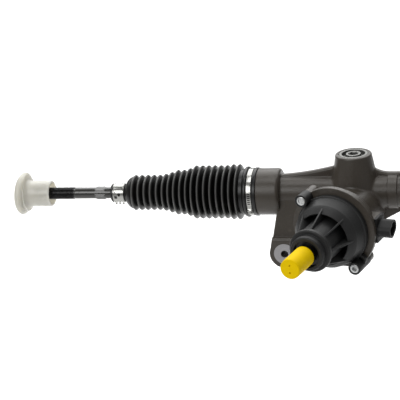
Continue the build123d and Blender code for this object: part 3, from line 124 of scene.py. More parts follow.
class Finish:
    """One material while it is being built."""

    def __init__(self, name):
        self.material = bpy.data.materials.new(name)
        self.material.use_nodes = True
        self.tree = self.material.node_tree
        self.shader = self.tree.nodes["Principled BSDF"]
        self.place = self.node("ShaderNodeTexCoord", output="Object")

    def node(self, kind, settings=None, inputs=None, output=0):
        """Adds a node, sets it up, feeds its sockets and gives back one of its outputs."""
        node = self.tree.nodes.new(kind)
        for name, value in (settings or {}).items():
            setattr(node, name, value)
        for name, value in (inputs or {}).items():
            self.feed(node.inputs[name], value)
        return Sock(self, node.outputs[output])

    def feed(self, socket, value):
        """Links a shader value to a socket, or writes a plain value on it."""
        if isinstance(value, Sock):
            self.tree.links.new(value.socket, socket)
        else:
            socket.default_value = value

    def math(self, operation, first, second):
        """One Math node."""
        return self.node("ShaderNodeMath", {"operation": operation}, {0: first, 1: second})

    def noise(self, size, detail=3.0, rough=0.55, place=None):
        """Cloudy pattern whose patches are about this size in metres."""
        values = {"Vector": place or self.place, "Scale": 1 / size, "Detail": detail, "Roughness": rough}
        return self.node("ShaderNodeTexNoise", inputs=values)

    def stretched(self, factors):
        """The place scaled along each axis, for patterns with a direction."""
        return self.node("ShaderNodeMapping", inputs={"Vector": self.place, "Scale": factors})

    def step(self, value, low, high):
        """Rises smoothly from 0 at low to 1 at high."""
        values = {"Value": value, "From Min": low, "From Max": high}
        return self.node("ShaderNodeMapRange", {"interpolation_type": "SMOOTHSTEP"}, values)

    def blend(self, factor, first, second):
        """Mixes two colours."""
        node = self.tree.nodes.new("ShaderNodeMix")
        node.data_type = "RGBA"
        sockets = {s.identifier: s for s in node.inputs}
        self.feed(sockets["Factor_Float"], factor)
        self.feed(sockets["A_Color"], first if isinstance(first, Sock) else (*first, 1))
        self.feed(sockets["B_Color"], second if isinstance(second, Sock) else (*second, 1))
        outputs = {s.identifier: s for s in node.outputs}
        return Sock(self, outputs["Result_Color"])

    def part(self, axis):
        """One coordinate of the place."""
        return self.node("ShaderNodeSeparateXYZ", inputs={"Vector": self.place}, output=axis)

    def distance(self, centre):
        """Distance from a point."""
        settings = {"operation": "DISTANCE"}
        return self.node("ShaderNodeVectorMath", settings, {0: self.place, 1: centre}, output="Value")

    def colour(self, value):
        self.feed(self.shader.inputs["Base Color"], value if isinstance(value, Sock) else (*value, 1))

    def rough(self, value):
        self.feed(self.shader.inputs["Roughness"], value)

    def relief(self, height, depth, edge=0.0):
        """Fine relief, depth in metres; edge is the radius that sharp corners seem rounded to."""
        values = {"Height": height, "Distance": depth, "Strength": 1.0}
        if edge:
            values["Normal"] = self.node("ShaderNodeBevel", {"samples": 6}, {"Radius": edge})
        self.feed(self.shader.inputs["Normal"], self.node("ShaderNodeBump", inputs=values))

    def fixed(self, **values):
        """Values that are the same all over the surface."""
        for name, value in values.items():
            self.shader.inputs[name.replace("_", " ")].default_value = value


def shade(colour, factor):
    """A lighter or darker version of a colour."""
    return tuple(min(1.0, c * factor) for c in colour)


def cast_coat(name, colour):
    """Satin coat over a sand-textured casting, rubbed lighter in places."""
    finish = Finish(name)
    cloud = finish.noise(0.035, 4)
    grain = finish.noise(0.0011, 3, 0.6)
    specks = finish.step(finish.noise(0.004, 2), 0.66, 0.74)
    tone = finish.blend(cloud, shade(colour, 0.84), shade(colour, 1.2))
    tone = finish.blend(specks * 0.35, tone, shade(colour, 1.9))
    finish.colour(tone)
    finish.rough(0.2 + 0.12 * cloud + 0.1 * grain)
    finish.relief(grain + 0.8 * finish.noise(0.0035, 2), 0.00016, edge=0.0014)
    finish.fixed(Metallic=0.0, IOR=1.42)
    return finish


def housing_coat(name, colour):
    """The casting's coat, cut away to bare metal on the faces of the two mounting eyes."""
    settings = bpy.context.scene.steering_rack.finishes
    finish = cast_coat(name, colour)
    tone = Sock(finish, finish.shader.inputs["Base Color"].links[0].from_socket)
    bare = None
    for side in SIDES:
        mount = next(m for m in frame["record"]["mounts"] if m["name"] == f"{side}_mount")
        centre = Vector(mount["pos_m"])
        near = 1 - finish.step(finish.distance(centre), settings.eye_face - 0.0002, settings.eye_face)
        bare = near if bare is None else bare + near
    front = 1 - finish.step(finish.part("Y"), 0.0003, 0.0006)
    bare = bare * front
    lathe = finish.noise(0.0006, 2)
    metal = finish.blend(lathe, shade(settings.bare_metal, 0.5), shade(settings.bare_metal, 0.62))
    finish.colour(finish.blend(bare, tone, metal))
    finish.feed(finish.shader.inputs["Metallic"], bare * 0.55)
    return finish


def turned_metal(name, colour, rough=0.3, metal=1.0, stretch=(1, 1, 1)):
    """Turned or ground metal with fine tool marks and a few dull patches."""
    finish = Finish(name)
    marks = finish.noise(0.0009, 2, place=finish.stretched(stretch))
    cloud = finish.noise(0.018, 4)
    finish.colour(finish.blend(cloud, shade(colour, 0.82), shade(colour, 1.08)))
    finish.rough(rough + 0.16 * cloud + 0.08 * marks)
    finish.relief(marks, 0.00003)
    finish.fixed(Metallic=metal)
    return finish


def black_coat(name, colour):
    """Black oxide over steel: dark on the rolled threads, with a painted warm reflection, a lighter base colour,
    on the smooth stretches.
    """
    finish = Finish(name)
    rods = bpy.context.scene.steering_rack.rods
    cloud = finish.noise(0.012, 4)
    marks = finish.noise(0.0008, 2, place=finish.stretched((0.15, 1, 1)))
    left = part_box("left_tie_rod")[0].x + rods.thread_length
    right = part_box("right_tie_rod")[1].x - rods.thread_length
    x = finish.part("X")
    smooth = finish.step(x, left - 0.0004, left) * (1 - finish.step(x, right, right + 0.0004))
    # Painted reflection: a lighter warm colour on the smooth stretches stands in for the highlight band on the
    # glossy rod
    painted_reflection = finish.blend(cloud, shade(colour, 2.5), (*shade(colour, 4)[:2], colour[2] * 3))
    finish.colour(finish.blend(smooth, shade(colour, 1.4), painted_reflection))
    finish.feed(finish.shader.inputs["Coat Weight"], smooth * 0.45)
    finish.rough(0.13 + 0.08 * cloud + 0.08 * marks)
    finish.relief(marks, 0.00003)
    finish.fixed(IOR=1.4, Coat_IOR=1.75, Coat_Roughness=0.12)
    return finish


def rubber(name, colour):
    """Moulded rubber: satin, with a painted grey highlight on the crests of the bellows."""
    finish = Finish(name)
    cloud = finish.noise(0.02, 4)
    fine = finish.noise(0.0006, 2)
    crest = finish.node("ShaderNodeAttribute", {"attribute_name": CREST}, output="Fac")
    # Painted highlight: the crests are lightened towards pale grey in place of the light that catches them
    painted_crest_highlight = crest * crest * (0.7 + 0.6 * cloud)
    tone = finish.blend(cloud, shade(colour, 0.4), shade(colour, 0.9))
    finish.colour(finish.blend(painted_crest_highlight, tone, shade(colour, 24)))
    finish.rough(0.24 + 0.12 * cloud)
    finish.relief(fine, 0.00002)
    finish.fixed(IOR=1.42)
    return finish


def plastic(name, colour, rough=0.42, grain=0.00045, depth=0.00003, gloss=1.38):
    """Moulded plastic with an eroded tool texture."""
    finish = Finish(name)
    cloud = finish.noise(0.025, 4)
    fine = finish.noise(grain, 3, 0.6)
    finish.colour(finish.blend(cloud, shade(colour, 0.86), shade(colour, 1.16)))
    finish.rough(rough + 0.12 * cloud + 0.05 * fine)
    finish.relief(fine, depth)
    finish.fixed(IOR=gloss)
    return finish


def milky(name, colour):
    """Translucent off-white plastic."""
    finish = plastic(name, colour, rough=0.2, grain=0.0012, depth=0.00002, gloss=1.45)
    finish.fixed(Subsurface_Weight=0.9, Subsurface_Radius=(1.0, 0.95, 0.85), Subsurface_Scale=0.012)
    return finish


FINISH_MAKERS = {
    "cast_housing": housing_coat,
    "bare_aluminium": lambda name, colour: turned_metal(name, colour, rough=0.36),
    "spring_steel": lambda name, colour: turned_metal(name, colour, rough=0.3),
    "ground_steel": lambda name, colour: turned_metal(name, colour, rough=0.22, stretch=(6, 1, 1)),
    "zinc_steel": lambda name, colour: turned_metal(name, colour, rough=0.24),
    "clamp_steel": lambda name, colour: turned_metal(name, colour, rough=0.1, stretch=(6, 1, 1)),
    "black_coated_steel": black_coat,
    "black_rubber": rubber,
    "damper_rubber": rubber,
    "charcoal_plastic": plastic,
    "black_plastic": plastic,
    "yellow_plastic": lambda name, colour: plastic(name, colour, 0.5, 0.0009, 0.00006, 1.15),
    "milky_plastic": milky,
    "bearing_plastic": plastic,
    "ferrite": lambda name, colour: turned_metal(name, colour, rough=0.55, metal=0.3),
    "circuit_board": plastic,
}


def finish_of(slot):
    """The material of one of the record's slots, made on first use."""
    found = bpy.data.materials.get("finish_" + slot)
    if found is None:
        colours = bpy.context.scene.steering_rack.finishes
        maker = FINISH_MAKERS[slot]
        found = maker("finish_" + slot, tuple(getattr(colours, slot))).material
    return found


def start_fresh():
    """Leaves edit mode and deselects everything, so that the next operator acts on its own piece only."""
    if bpy.context.object is not None and bpy.context.object.mode != "OBJECT":
        bpy.ops.object.mode_set(mode="OBJECT")
    bpy.ops.object.select_all(action="DESELECT")


def select(piece):
    """Makes a piece the only selected one."""
    start_fresh()
    piece.select_set(True)
    bpy.context.view_layer.objects.active = piece


def change(piece, kind, **settings):
    """Adds a modifier to a piece, sets it up and applies it."""
    select(piece)
    bpy.ops.object.modifier_add(type=kind)
    modifier = piece.modifiers[-1]
    for name, value in settings.items():
        setattr(modifier, name, value)
    bpy.ops.object.modifier_apply(modifier=modifier.name)
    return piece


def soften(piece, width, segments=2, angle=35):
    """Rounds the edges of a piece that are sharper than an angle."""
    return change(piece, "BEVEL", width=width, segments=segments, limit_method="ANGLE",
                  angle_limit=math.radians(angle))


def combine(piece, other, operation):
    """Cuts, joins or intersects a piece with another one, which is used up."""
    change(piece, "BOOLEAN", object=other, operation=operation, solver="EXACT")
    select(other)
    bpy.ops.object.delete()
    return piece


def joined(pieces):
    """Makes one piece of several."""
    select(pieces[0])
    for piece in pieces[1:]:
        piece.select_set(True)
    bpy.ops.object.join()
    return bpy.context.object


def draw_chain(points):
    """Draws a chain of edges by extruding one vertex from point to point; stays in edit mode."""
    start_fresh()
    bpy.ops.mesh.primitive_plane_add(size=0.001, location=points[0])
    bpy.ops.object.mode_set(mode="EDIT")
    bpy.ops.mesh.select_all(action="SELECT")
    bpy.ops.mesh.merge(type="CENTER")
    for last, point in zip(points, points[1:]):
        bpy.ops.mesh.extrude_region_move(TRANSFORM_OT_translate={"value": point - last})
    bpy.ops.mesh.select_all(action="SELECT")
    bpy.ops.mesh.remove_doubles(threshold=MERGE)


def tidy_mesh():
    """Merges doubles, turns the faces outwards and leaves edit mode, with the piece's place in its mesh."""
    bpy.ops.mesh.select_all(action="SELECT")
    bpy.ops.mesh.remove_doubles(threshold=MERGE)
    bpy.ops.mesh.normals_make_consistent(inside=False)
    bpy.ops.object.mode_set(mode="OBJECT")
    bpy.ops.object.transform_apply(location=True, rotation=True, scale=True)
    return bpy.context.object


def turn(outline, centre, along, steps=96):
    """Spins an outline of (distance, radius) points about an axis; one that starts off the axis is closed."""
    side = UP if abs(along.dot(UP)) < 0.9 else ALONG_RACK
    points = [centre + along * distance + side * radius for distance, radius in outline]
    on_axis = outline[0][1] == 0 and outline[-1][1] == 0
    draw_chain(points if on_axis else points + points[:1])
    bpy.ops.mesh.select_all(action="SELECT")
    bpy.ops.mesh.spin(steps=steps, angle=2 * math.pi, center=centre, axis=along)
    return tidy_mesh()


def slab(outline, depth):
    """Fills a closed outline of points and thickens it by a vector."""
    draw_chain(outline + outline[:1])
    bpy.ops.mesh.select_all(action="SELECT")
    bpy.ops.mesh.edge_face_add()
    bpy.ops.mesh.extrude_region_move(TRANSFORM_OT_translate={"value": depth})
    return tidy_mesh()


def polygon(centre, first, second, radius, corners):
    """Points of a regular polygon in the plane of two directions."""
    turns = [2 * math.pi * n / corners for n in range(corners)]
    return [centre + (first * math.cos(t) + second * math.sin(t)) * radius for t in turns]


def arc(centre, radii, start, end, steps):
    """Points of an arc, or of part of an ellipse, between two angles."""
    turns = [start + (end - start) * n / steps for n in range(steps + 1)]
    return [(centre[0] + radii[0] * math.cos(t), centre[1] + radii[1] * math.sin(t)) for t in turns]


def round_pinion(angle):
    """A direction square to the pinion axis, at an angle round it."""
    return ACROSS_PINION * math.cos(angle) + UP * math.sin(angle)


def beside_pinion(angle, radius):
    """A point at an angle round the pinion's middle."""
    return PINION_AT + ACROSS_PINION * (math.cos(angle) * radius) + UP * (math.sin(angle) * radius)


def on_rack(x):
    """A point on the rack's axis."""
    return Vector((x, RACK_MIDDLE.y, RACK_MIDDLE.z))


def round_rack(x, angle, radius):
    """A point at an angle round the rack's axis: 0 at the back, a quarter turn at the top."""
    return on_rack(x) + Vector((0, math.cos(angle), math.sin(angle))) * radius


def mm(points):
    """The same points in metres."""
    return [tuple(value / 1000 for value in point) for point in points]


def rounded(points, radius, steps=4):
    """Rounds the corners of a closed outline; a point may carry its own radius as a third value."""
    result = []
    count = len(points)
    for n, point in enumerate(points):
        here = Vector(point[:2])
        before = Vector(points[n - 1][:2])
        after = Vector(points[(n + 1) % count][:2])
        wanted = point[2] if len(point) > 2 else radius
        to_before = before - here
        to_after = after - here
        corner = to_before.angle(to_after)
        reach = min(wanted / math.tan(corner / 2), 0.45 * to_before.length, 0.45 * to_after.length)
        if reach < 1e-6 or corner > math.radians(178):
            result.append(tuple(here))
            continue
        start = here + to_before.normalized() * reach
        end = here + to_after.normalized() * reach
        for k in range(steps + 1):
            t = k / steps
            bend = start * (1 - t) ** 2 + here * 2 * t * (1 - t) + end * t**2
            result.append(tuple(bend))
    return result


def finish_piece(piece, name, slot, body, replaces=(), smooth=40):
    """Names a modelled piece, gives it its finish and lets it ride on its body."""
    piece.name = name
    piece.data.name = name
    piece.data.materials.clear()
    piece.data.materials.append(finish_of(slot))
    select(piece)
    bpy.ops.object.shade_smooth_by_angle(angle=math.radians(smooth))
    if body is not None:
        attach(piece, body)
    if replaces:
        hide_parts(*replaces)
    return piece


def copy_node(name):
    """A copy of a piece of the frame with its points merged and its flat faces made whole."""
    start_fresh()
    piece = bpy.data.objects.new(name + "_copy", NODES[name].data.copy())
    bpy.context.collection.objects.link(piece)
    select(piece)
    bpy.ops.object.mode_set(mode="EDIT")
    bpy.ops.mesh.select_all(action="SELECT")
    bpy.ops.mesh.remove_doubles(threshold=10 * MERGE)
    bpy.ops.mesh.dissolve_limited(angle_limit=math.radians(0.6))
    return tidy_mesh()


def far_copy(piece):
    """A copy of a piece mirrored to the far side of the rack."""
    select(piece)
    bpy.ops.object.duplicate()
    bpy.ops.object.mode_set(mode="EDIT")
    bpy.ops.mesh.select_all(action="SELECT")
    bpy.ops.transform.resize(value=(-1, 1, 1), center_override=RACK_MIDDLE)
    bpy.ops.mesh.flip_normals()
    bpy.ops.object.mode_set(mode="OBJECT")
    return bpy.context.object


def finish_pair(piece, name, slot, body, node, smooth=40):
    """Finishes a left piece and its far copy; {} in name, body and node stands for the side."""
    pair = dict(zip(SIDES, (piece, far_copy(piece))))
    for side, made in pair.items():
        finish_piece(made, name.format(side), slot, body and body.format(side), [node.format(side)], smooth)
    return pair


def band_axes(x, angle, radius):
    """A place on a band round the rack, with the directions out of the band and round it."""
    place = round_rack(x, angle, radius)
    out = (place - on_rack(x)).normalized()
    return place, out, ALONG_RACK.cross(out)


def band_cutter(x, angle, radius, outline, corner):
    """A cutter through a band; the outline goes along the rack and round the band, in millimetres."""
    place, out, across = band_axes(x, angle, radius)
    reach = 0.002
    points = [place - out * reach + ALONG_RACK * a + across * b for a, b in rounded(mm(outline), corner, 3)]
    return slab(points, out * 2 * reach)


def band_bend(x, angle, radius, outline, width, edge):
    """A bent strip on a band; the outline goes round the band and outwards, in millimetres."""
    place, out, across = band_axes(x, angle, radius)
    points = [place + across * a + out * b for a, b in rounded(mm(outline), 0.0003, 2)]
    return soften(slab(points, ALONG_RACK * width), edge)


def tint(label, value):
    """A colour that a user may change."""
    return FloatVectorProperty(name=label, description=f"Colour of the {label.lower()}", default=value,
                               subtype="COLOR", size=3, min=0, max=1)


def size(label, text, value):
    """A length that a user may change."""
    return FloatProperty(name=label, description=text, default=value, unit="LENGTH")


def bearing(label, text, degrees):
    """An angle that a user may change."""
    return FloatProperty(name=label, description=text, default=math.radians(degrees), subtype="ANGLE")


class RackFinishes(bpy.types.PropertyGroup):
    """Colours of the finishes."""

    cast_housing: tint("Cast housing", (0.052, 0.0445, 0.036))
    bare_metal: tint("Bare metal of the eyes", (0.6, 0.59, 0.6))
    bare_aluminium: tint("Yoke plug", (0.22, 0.22, 0.21))
    spring_steel: tint("Spring steel", (0.3, 0.3, 0.31))
    ground_steel: tint("Ground steel", (0.5, 0.5, 0.51))
    zinc_steel: tint("Zinc plated steel", (0.62, 0.63, 0.63))
    clamp_steel: tint("Clamp strip", (0.42, 0.42, 0.4))
    black_coated_steel: tint("Tie rods", (0.006, 0.006, 0.006))
    black_rubber: tint("Bellows", (0.005, 0.005, 0.0048))
    damper_rubber: tint("Stop rings", (0.02, 0.02, 0.021))
    charcoal_plastic: tint("Sensor cover", (0.016, 0.0162, 0.0162))
    black_plastic: tint("Connector", (0.005, 0.005, 0.005))
    yellow_plastic: tint("Pinion cap", (0.82, 0.56, 0.0))
    milky_plastic: tint("Thread caps", (0.56, 0.545, 0.485))
    bearing_plastic: tint("Ball seats", (0.7, 0.68, 0.6))
    ferrite: tint("Magnet ring", (0.03, 0.03, 0.032))
    circuit_board: tint("Sensor board", (0.01, 0.1, 0.045))
    eye_face: size("Eye face", "Radius of the bare face round a mounting hole", 0.0122)


class BellowsSizes(bpy.types.PropertyGroup):
    """Sizes of a bellows."""

    wall: size("Wall", "Thickness of the rubber", 0.0012)
    depth: FloatProperty(name="Fold depth", description="Depth of a valley as a share of the crest's radius",
                         default=0.23, subtype="FACTOR")
    first: size("First crest", "From the rod end to the first crest", 0.0308)
    last: size("Last crest", "From the last crest to the housing end", 0.0224)
    inset: size("Inset", "From the frame's rod end to the modelled one", 0.0025)
    steps: IntProperty(name="Steps", description="Faces round the bellows", default=112)


class RodSizes(bpy.types.PropertyGroup):
    """Sizes of a tie rod."""

    thread_length: size("Thread length", "From the rod end to the last turn", 0.0681)
    thread_radius: size("Thread radius", "Crest of the thread", 0.007)
    thread_depth: size("Thread depth", "From crest to root", 0.0009)
    pitch: size("Pitch", "From turn to turn of the thread", 0.0015)
    chamfer: size("Chamfer", "Chamfer of the rod end and run-out of the thread", 0.0012)
    radius: size("Radius", "Smooth stretch of the rod", 0.00665)
    neck: size("Neck", "Radius beside the ball", 0.006)
    neck_length: size("Neck length", "From the ball to the full rod", 0.008)
    ball: size("Ball", "Radius of the ball", 0.01)
    hex_start: size("Wrench flats start", "From the rod end to the wrench flats", 0.0934)
    hex_length: size("Wrench flats length", "Along the rod", 0.0136)
    hex_flats: size("Wrench size", "Across the flats", 0.013)
    hex_edge: size("Wrench flats edge", "Length over which the corners are turned off", 0.0026)
    hex_turn: bearing("Wrench flats turn", "Turn of the flats about the rod", 10)


class ThreadCapSizes(bpy.types.PropertyGroup):
    """Sizes of a thread cap."""

    hub: size("Hub", "Outer radius of the hub", 0.015)
    lip: size("Lip", "Rounding of the open end", 0.0016)
    mouth: size("Mouth", "Radius of the wide mouth", 0.0128)
    mouth_depth: size("Mouth depth", "Depth of the wide mouth", 0.016)
    bore: size("Bore", "Radius of the hole for the thread", 0.0071)
    depth: size("Depth", "Depth of the hole", 0.0418)
    length: size("Length", "From the open end to the middle of the flange", 0.0334)
    flare: size("Flare", "Rounding from the hub to the flange", 0.0055)
    flange: size("Flange", "Radius of the flange", 0.0249)
    edge: size("Edge", "Half the thickness of the flange's edge", 0.004)
    dome: size("Dome", "Height of the dome on the flange", 0.006)
    tilt: bearing("Tilt", "Lean of the flange", 5)
    inset: size("Inset", "From the frame's open end to the modelled one", 0.0027)


class ClampSizes(bpy.types.PropertyGroup):
    """Sizes of the clamps; angles go round the rack, from the back over the top."""

    large: size("Large clamp", "Outer radius of the large clamp", 0.02695)
    large_band: size("Large strip", "Thickness of the large clamp's strip", 0.0006)
    slots: IntProperty(name="Slots", description="Slots in the large clamp's strip", default=6)
    slot_angle: bearing("First slot", "Place of the first slot", 166)
    slot_step: bearing("Slot step", "From slot to slot", 5)
    lip_angle: bearing("Strip end", "Place of the strip's end", 203)
    ear_angle: bearing("Ear", "Place of the pinched ear", 212)
    small: size("Small clamp", "Outer radius of the small clamp", 0.0107)
    small_band: size("Small strip", "Thickness of the small clamp's strip", 0.0005)
    teeth: IntProperty(name="Teeth", description="Teeth of the small clamp's comb", default=3)
    tooth_angle: bearing("Comb", "Place of the comb", 244)
    tooth_width: size("Tooth width", "Width of a tooth along the rack", 0.0022)


class CoverSizes(bpy.types.PropertyGroup):
    """Sizes of the sensor cover and its screws."""

    ribs: IntProperty(name="Ribs", description="Ribs round the hub", default=8)
    rib: size("Rib", "Thickness of a rib", 0.002)
    lug: size("Lug", "Radius of a screw lug", 0.007)
    upper_lug: size("Upper lug", "From the pinion's middle to the back of the upper lug", 0.08)
    lower_lug: size("Lower lug", "From the pinion's middle to the back of the lower lug", 0.066)
    bolt_circle: size("Screw circle", "From the pinion axis to a screw", 0.0455)
    bolt_angle: bearing("Screw angle", "Place of the upper screw round the cover", 128.5)
    bolt_head: size("Screw head", "Radius of a screw's head", 0.005)
    bolt_seat: size("Screw seat", "From the pinion's middle to the seat of the heads", 0.0905)
    bolt_front: size("Screw front", "From the pinion's middle to the face of the heads", 0.096)


class StageSettings(bpy.types.PropertyGroup):
    """Camera, light and floor."""

    azimuth: bearing("Azimuth", "Camera direction about the upright axis", 16)
    elevation: bearing("Elevation", "Camera height above the horizon", 20)
    roll: bearing("Roll", "Camera turned about its view", 6.1)
    tilt: bearing("Tilt", "Camera aimed below its target", 0.327)
    distance: size("Distance", "From the camera to its target", 1.6)
    lens: FloatProperty(name="Lens", description="Focal length in millimetres", default=126)
    target: size("Target", "Camera target along the rack, from the left hole", -0.099)
    floor_drop: size("Floor drop", "From the lowest point to the floor", 0.35)
    sky: FloatProperty(name="Sky", description="Strength of the light from all round", default=0.25)
    key: FloatProperty(name="Key light", description="Strength of the main light in watts", default=9.5)
    back: FloatProperty(name="Floor light", description="Light on the floor behind in watts", default=85)


class RackSettings(bpy.types.PropertyGroup):
    """Everything that a user would change."""

    finishes: PointerProperty(type=RackFinishes)
    bellows: PointerProperty(type=BellowsSizes)
    rods: PointerProperty(type=RodSizes)
    thread_caps: PointerProperty(type=ThreadCapSizes)
    clamps: PointerProperty(type=ClampSizes)
    cover: PointerProperty(type=CoverSizes)
    stage: PointerProperty(type=StageSettings)


class RACK_OT_bellows(bpy.types.Operator):
    """Models both rubber bellows, each in three stretches"""

    bl_idname = "steering_rack.bellows"
    bl_label = "Bellows"

    def execute(self, context):
        sizes = context.scene.steering_rack.bellows
        low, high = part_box("left_bellows")
        length = high.x - low.x
        pitch = (length - sizes.first - sizes.last) / (len(CREST_RADII) - 1)
        line = self.neck(sizes, pitch) + self.folds(sizes, pitch) + self.collar(low, length)
        self.build(sizes, line, pitch, low)
        return {"FINISHED"}

    def neck(self, sizes, pitch):
        """The outer line from the lip over the seat of the small clamp to the first fold."""
        clamp_low, clamp_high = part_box("left_small_clamp")
        bore = (clamp_high.y - clamp_low.y) / 2 - 0.0006
        first = CREST_RADII[0]
        line = [(0.0, bore - 0.0022), (0.0, bore + 0.0004), (0.0006, bore + 0.0008), (0.0022, bore + 0.0006),
                (0.0026, bore), (0.016, bore), (0.0178, bore + 0.0008), (0.0198, bore + 0.0046),
                (0.0222, first - 0.0032)]
        line = [(distance + sizes.inset, radius) for distance, radius in line]
        return line + [(sizes.first - pitch / 2 + 0.0004, first - 0.0018)]

    def folds(self, sizes, pitch):
        """The outer line over all crests, without the first one's foot and the last one's end."""
        around = 10
        last = len(CREST_RADII) - 1
        line = []
        for n, radius in enumerate(CREST_RADII):
            for k in range(around + 1):
                phase = k / around - 0.5
                if (n == 0 and phase < -0.3) or (n == last and phase > 0.42):
                    continue
                beside = n + (1 if phase > 0 else -1)
                valley = min(radius, CREST_RADII[min(max(beside, 0), last)]) * (1 - sizes.depth)
                lift = (0.5 + 0.5 * math.cos(2 * math.pi * phase)) ** 0.62
                line.append((sizes.first + (n + phase) * pitch, valley + (radius - valley) * lift))
        return line

    def collar(self, low, length):
        """The outer line from the last fold over the groove of the large clamp to the housing end."""
        clamp_low, clamp_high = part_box("left_large_clamp")
        start = clamp_low.x - low.x
        end = clamp_high.x - low.x
        gap = 0.0002
        groove = (clamp_high.y - clamp_low.y) / 2 - 0.0007
        before = mm([(-5.8, 25.8), (-4.6, 27.8), (-3, 28.7), (-1.2, 28.6), (-0.3, 27.6)])
        after = mm([(0.4, 26.8), (1.6, 27.5), (4.2, 27.5)])
        line = [(start + distance, radius) for distance, radius in before]
        line += [(start - gap, groove), (end + gap, groove)]
        line += [(end + distance, radius) for distance, radius in after]
        return line + [(length - 0.0006, 0.0272), (length, 0.0264)]

    def build(self, sizes, line, pitch, low):
        """Cuts the line at two valleys, closes each stretch with its inner wall and spins it."""
        first_cut = sizes.first + 1.5 * pitch
        second_cut = sizes.first + 4.5 * pitch
        cuts = [(-1.0, first_cut, "rod"), (first_cut, second_cut, "ball"), (second_cut, 1.0, "housing")]
        for begin, end, label in cuts:
            stretch = [p for p in line if begin - 1e-6 <= p[0] <= end + 1e-6]
            inner = [(distance, radius - sizes.wall) for distance, radius in reversed(stretch)]
            piece = turn(stretch + inner, on_rack(low.x), ALONG_RACK, sizes.steps)
            self.mark_crests(piece, sizes, pitch, low)
            pair = finish_pair(piece, "{}_bellows_" + label, "black_rubber", None, "{}_bellows")
            for side, made in pair.items():
                self.attach(made, side, label, low, begin, end)

    def mark_crests(self, piece, sizes, pitch, low):
        """Notes on every point how near it is to a crest, for the painted highlight on the crests of the rubber.
        """
        marks = piece.data.attributes.new(CREST, "FLOAT", "POINT")
        last = sizes.first + (len(CREST_RADII) - 0.5) * pitch
        for point, mark in zip(piece.data.vertices, marks.data):
            distance = point.co.x - low.x
            wave = 0.5 + 0.5 * math.cos(2 * math.pi * (distance - sizes.first) / pitch)
            inside = sizes.first - 0.5 * pitch < distance < last
            mark.value = wave**4 if inside else 0.25

    def attach(self, piece, side, label, low, begin, end):
        """Works out the grip places of a stretch's ends without using them, and bakes the stretch's place into its
        mesh.
        """
        rod_grip = 0.012
        housing_grip = 0.172
        reach = {"rod": (end, rod_grip), "ball": (end, begin), "housing": (housing_grip, begin)}[label]
        for distance in reach:
            x = low.x + distance
            x if side == "left" else 2 * RACK_MIDDLE.x - x
        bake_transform(piece)


class RACK_OT_tie_rods(bpy.types.Operator):
    """Models both tie rods with rolled thread, wrench flats, neck and ball"""

    bl_idname = "steering_rack.tie_rods"
    bl_label = "Tie rods"

    def execute(self, context):
        sizes = context.scene.steering_rack.rods
        low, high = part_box("left_tie_rod")
        end = on_rack(low.x)
        rod = joined([self.core(sizes, end, high.x - low.x), self.thread(sizes, end), self.flats(sizes, end)])
        finish_pair(rod, "{}_rod", "black_coated_steel", "{}_rod", "{}_tie_rod", smooth=20)
        return {"FINISHED"}

    def core(self, sizes, end, length):
        """The turned bar: chamfered end, root of the thread, smooth stretch, neck and ball."""
        root = sizes.thread_radius - sizes.thread_depth
        centre = length - sizes.ball
        neck = centre - sizes.ball - sizes.neck_length
        line = [(0, 0), (0, root - sizes.chamfer), (sizes.chamfer, root), (sizes.thread_length, root),
                (sizes.thread_length + sizes.chamfer, sizes.radius), (neck - 0.003, sizes.radius),
                (neck, sizes.neck)]
        start = math.pi - math.asin(sizes.neck / sizes.ball)
        line += arc((centre, 0), (sizes.ball, sizes.ball), start, 0, 24)
        line[-1] = (length, 0)
        return turn(line, end, ALONG_RACK, 64)

    def thread(self, sizes, end):
        """One ridge wound along the bar, its foot sunk a little into the core."""
        root = sizes.thread_radius - sizes.thread_depth - 0.0001
        crest = sizes.thread_radius
        ridge = [(-0.46, root), (-0.1, crest), (0.1, crest), (0.46, root)]
        start = end + ALONG_RACK * (sizes.pitch / 2 + 0.0008)
        points = [start + ALONG_RACK * (share * sizes.pitch) + UP * radius for share, radius in ridge]
        draw_chain(points + points[:1])
        bpy.ops.object.mode_set(mode="OBJECT")
        bpy.context.scene.cursor.location = end
        bpy.ops.object.origin_set(type="ORIGIN_CURSOR")
        turns = int(sizes.thread_length / sizes.pitch) - 1
        change(bpy.context.object, "SCREW", axis="X", screw_offset=sizes.pitch, iterations=turns, steps=36,
               render_steps=36)
        bpy.ops.object.mode_set(mode="EDIT")
        bpy.ops.mesh.select_all(action="SELECT")
        bpy.ops.mesh.fill_holes(sides=0)
        return tidy_mesh()

    def flats(self, sizes, end):
        """The hexagon for a wrench, its corners turned off at both ends."""
        corner = sizes.hex_flats / math.sqrt(3)
        start = end + ALONG_RACK * sizes.hex_start
        back = Vector((0, math.cos(sizes.hex_turn), math.sin(sizes.hex_turn)))
        over = ALONG_RACK.cross(back)
        length = sizes.hex_length
        hexagon = slab(polygon(start, back, over, corner, 6), ALONG_RACK * length)
        edge = sizes.hex_edge
        air = 0.0001
        foot = sizes.radius - 0.0002
        barrel = [(-air, 0), (-air, foot), (edge, corner + air), (length - edge, corner + air),
                  (length + air, foot), (length + air, 0)]
        return combine(hexagon, turn(barrel, start, ALONG_RACK, 64), "INTERSECT")


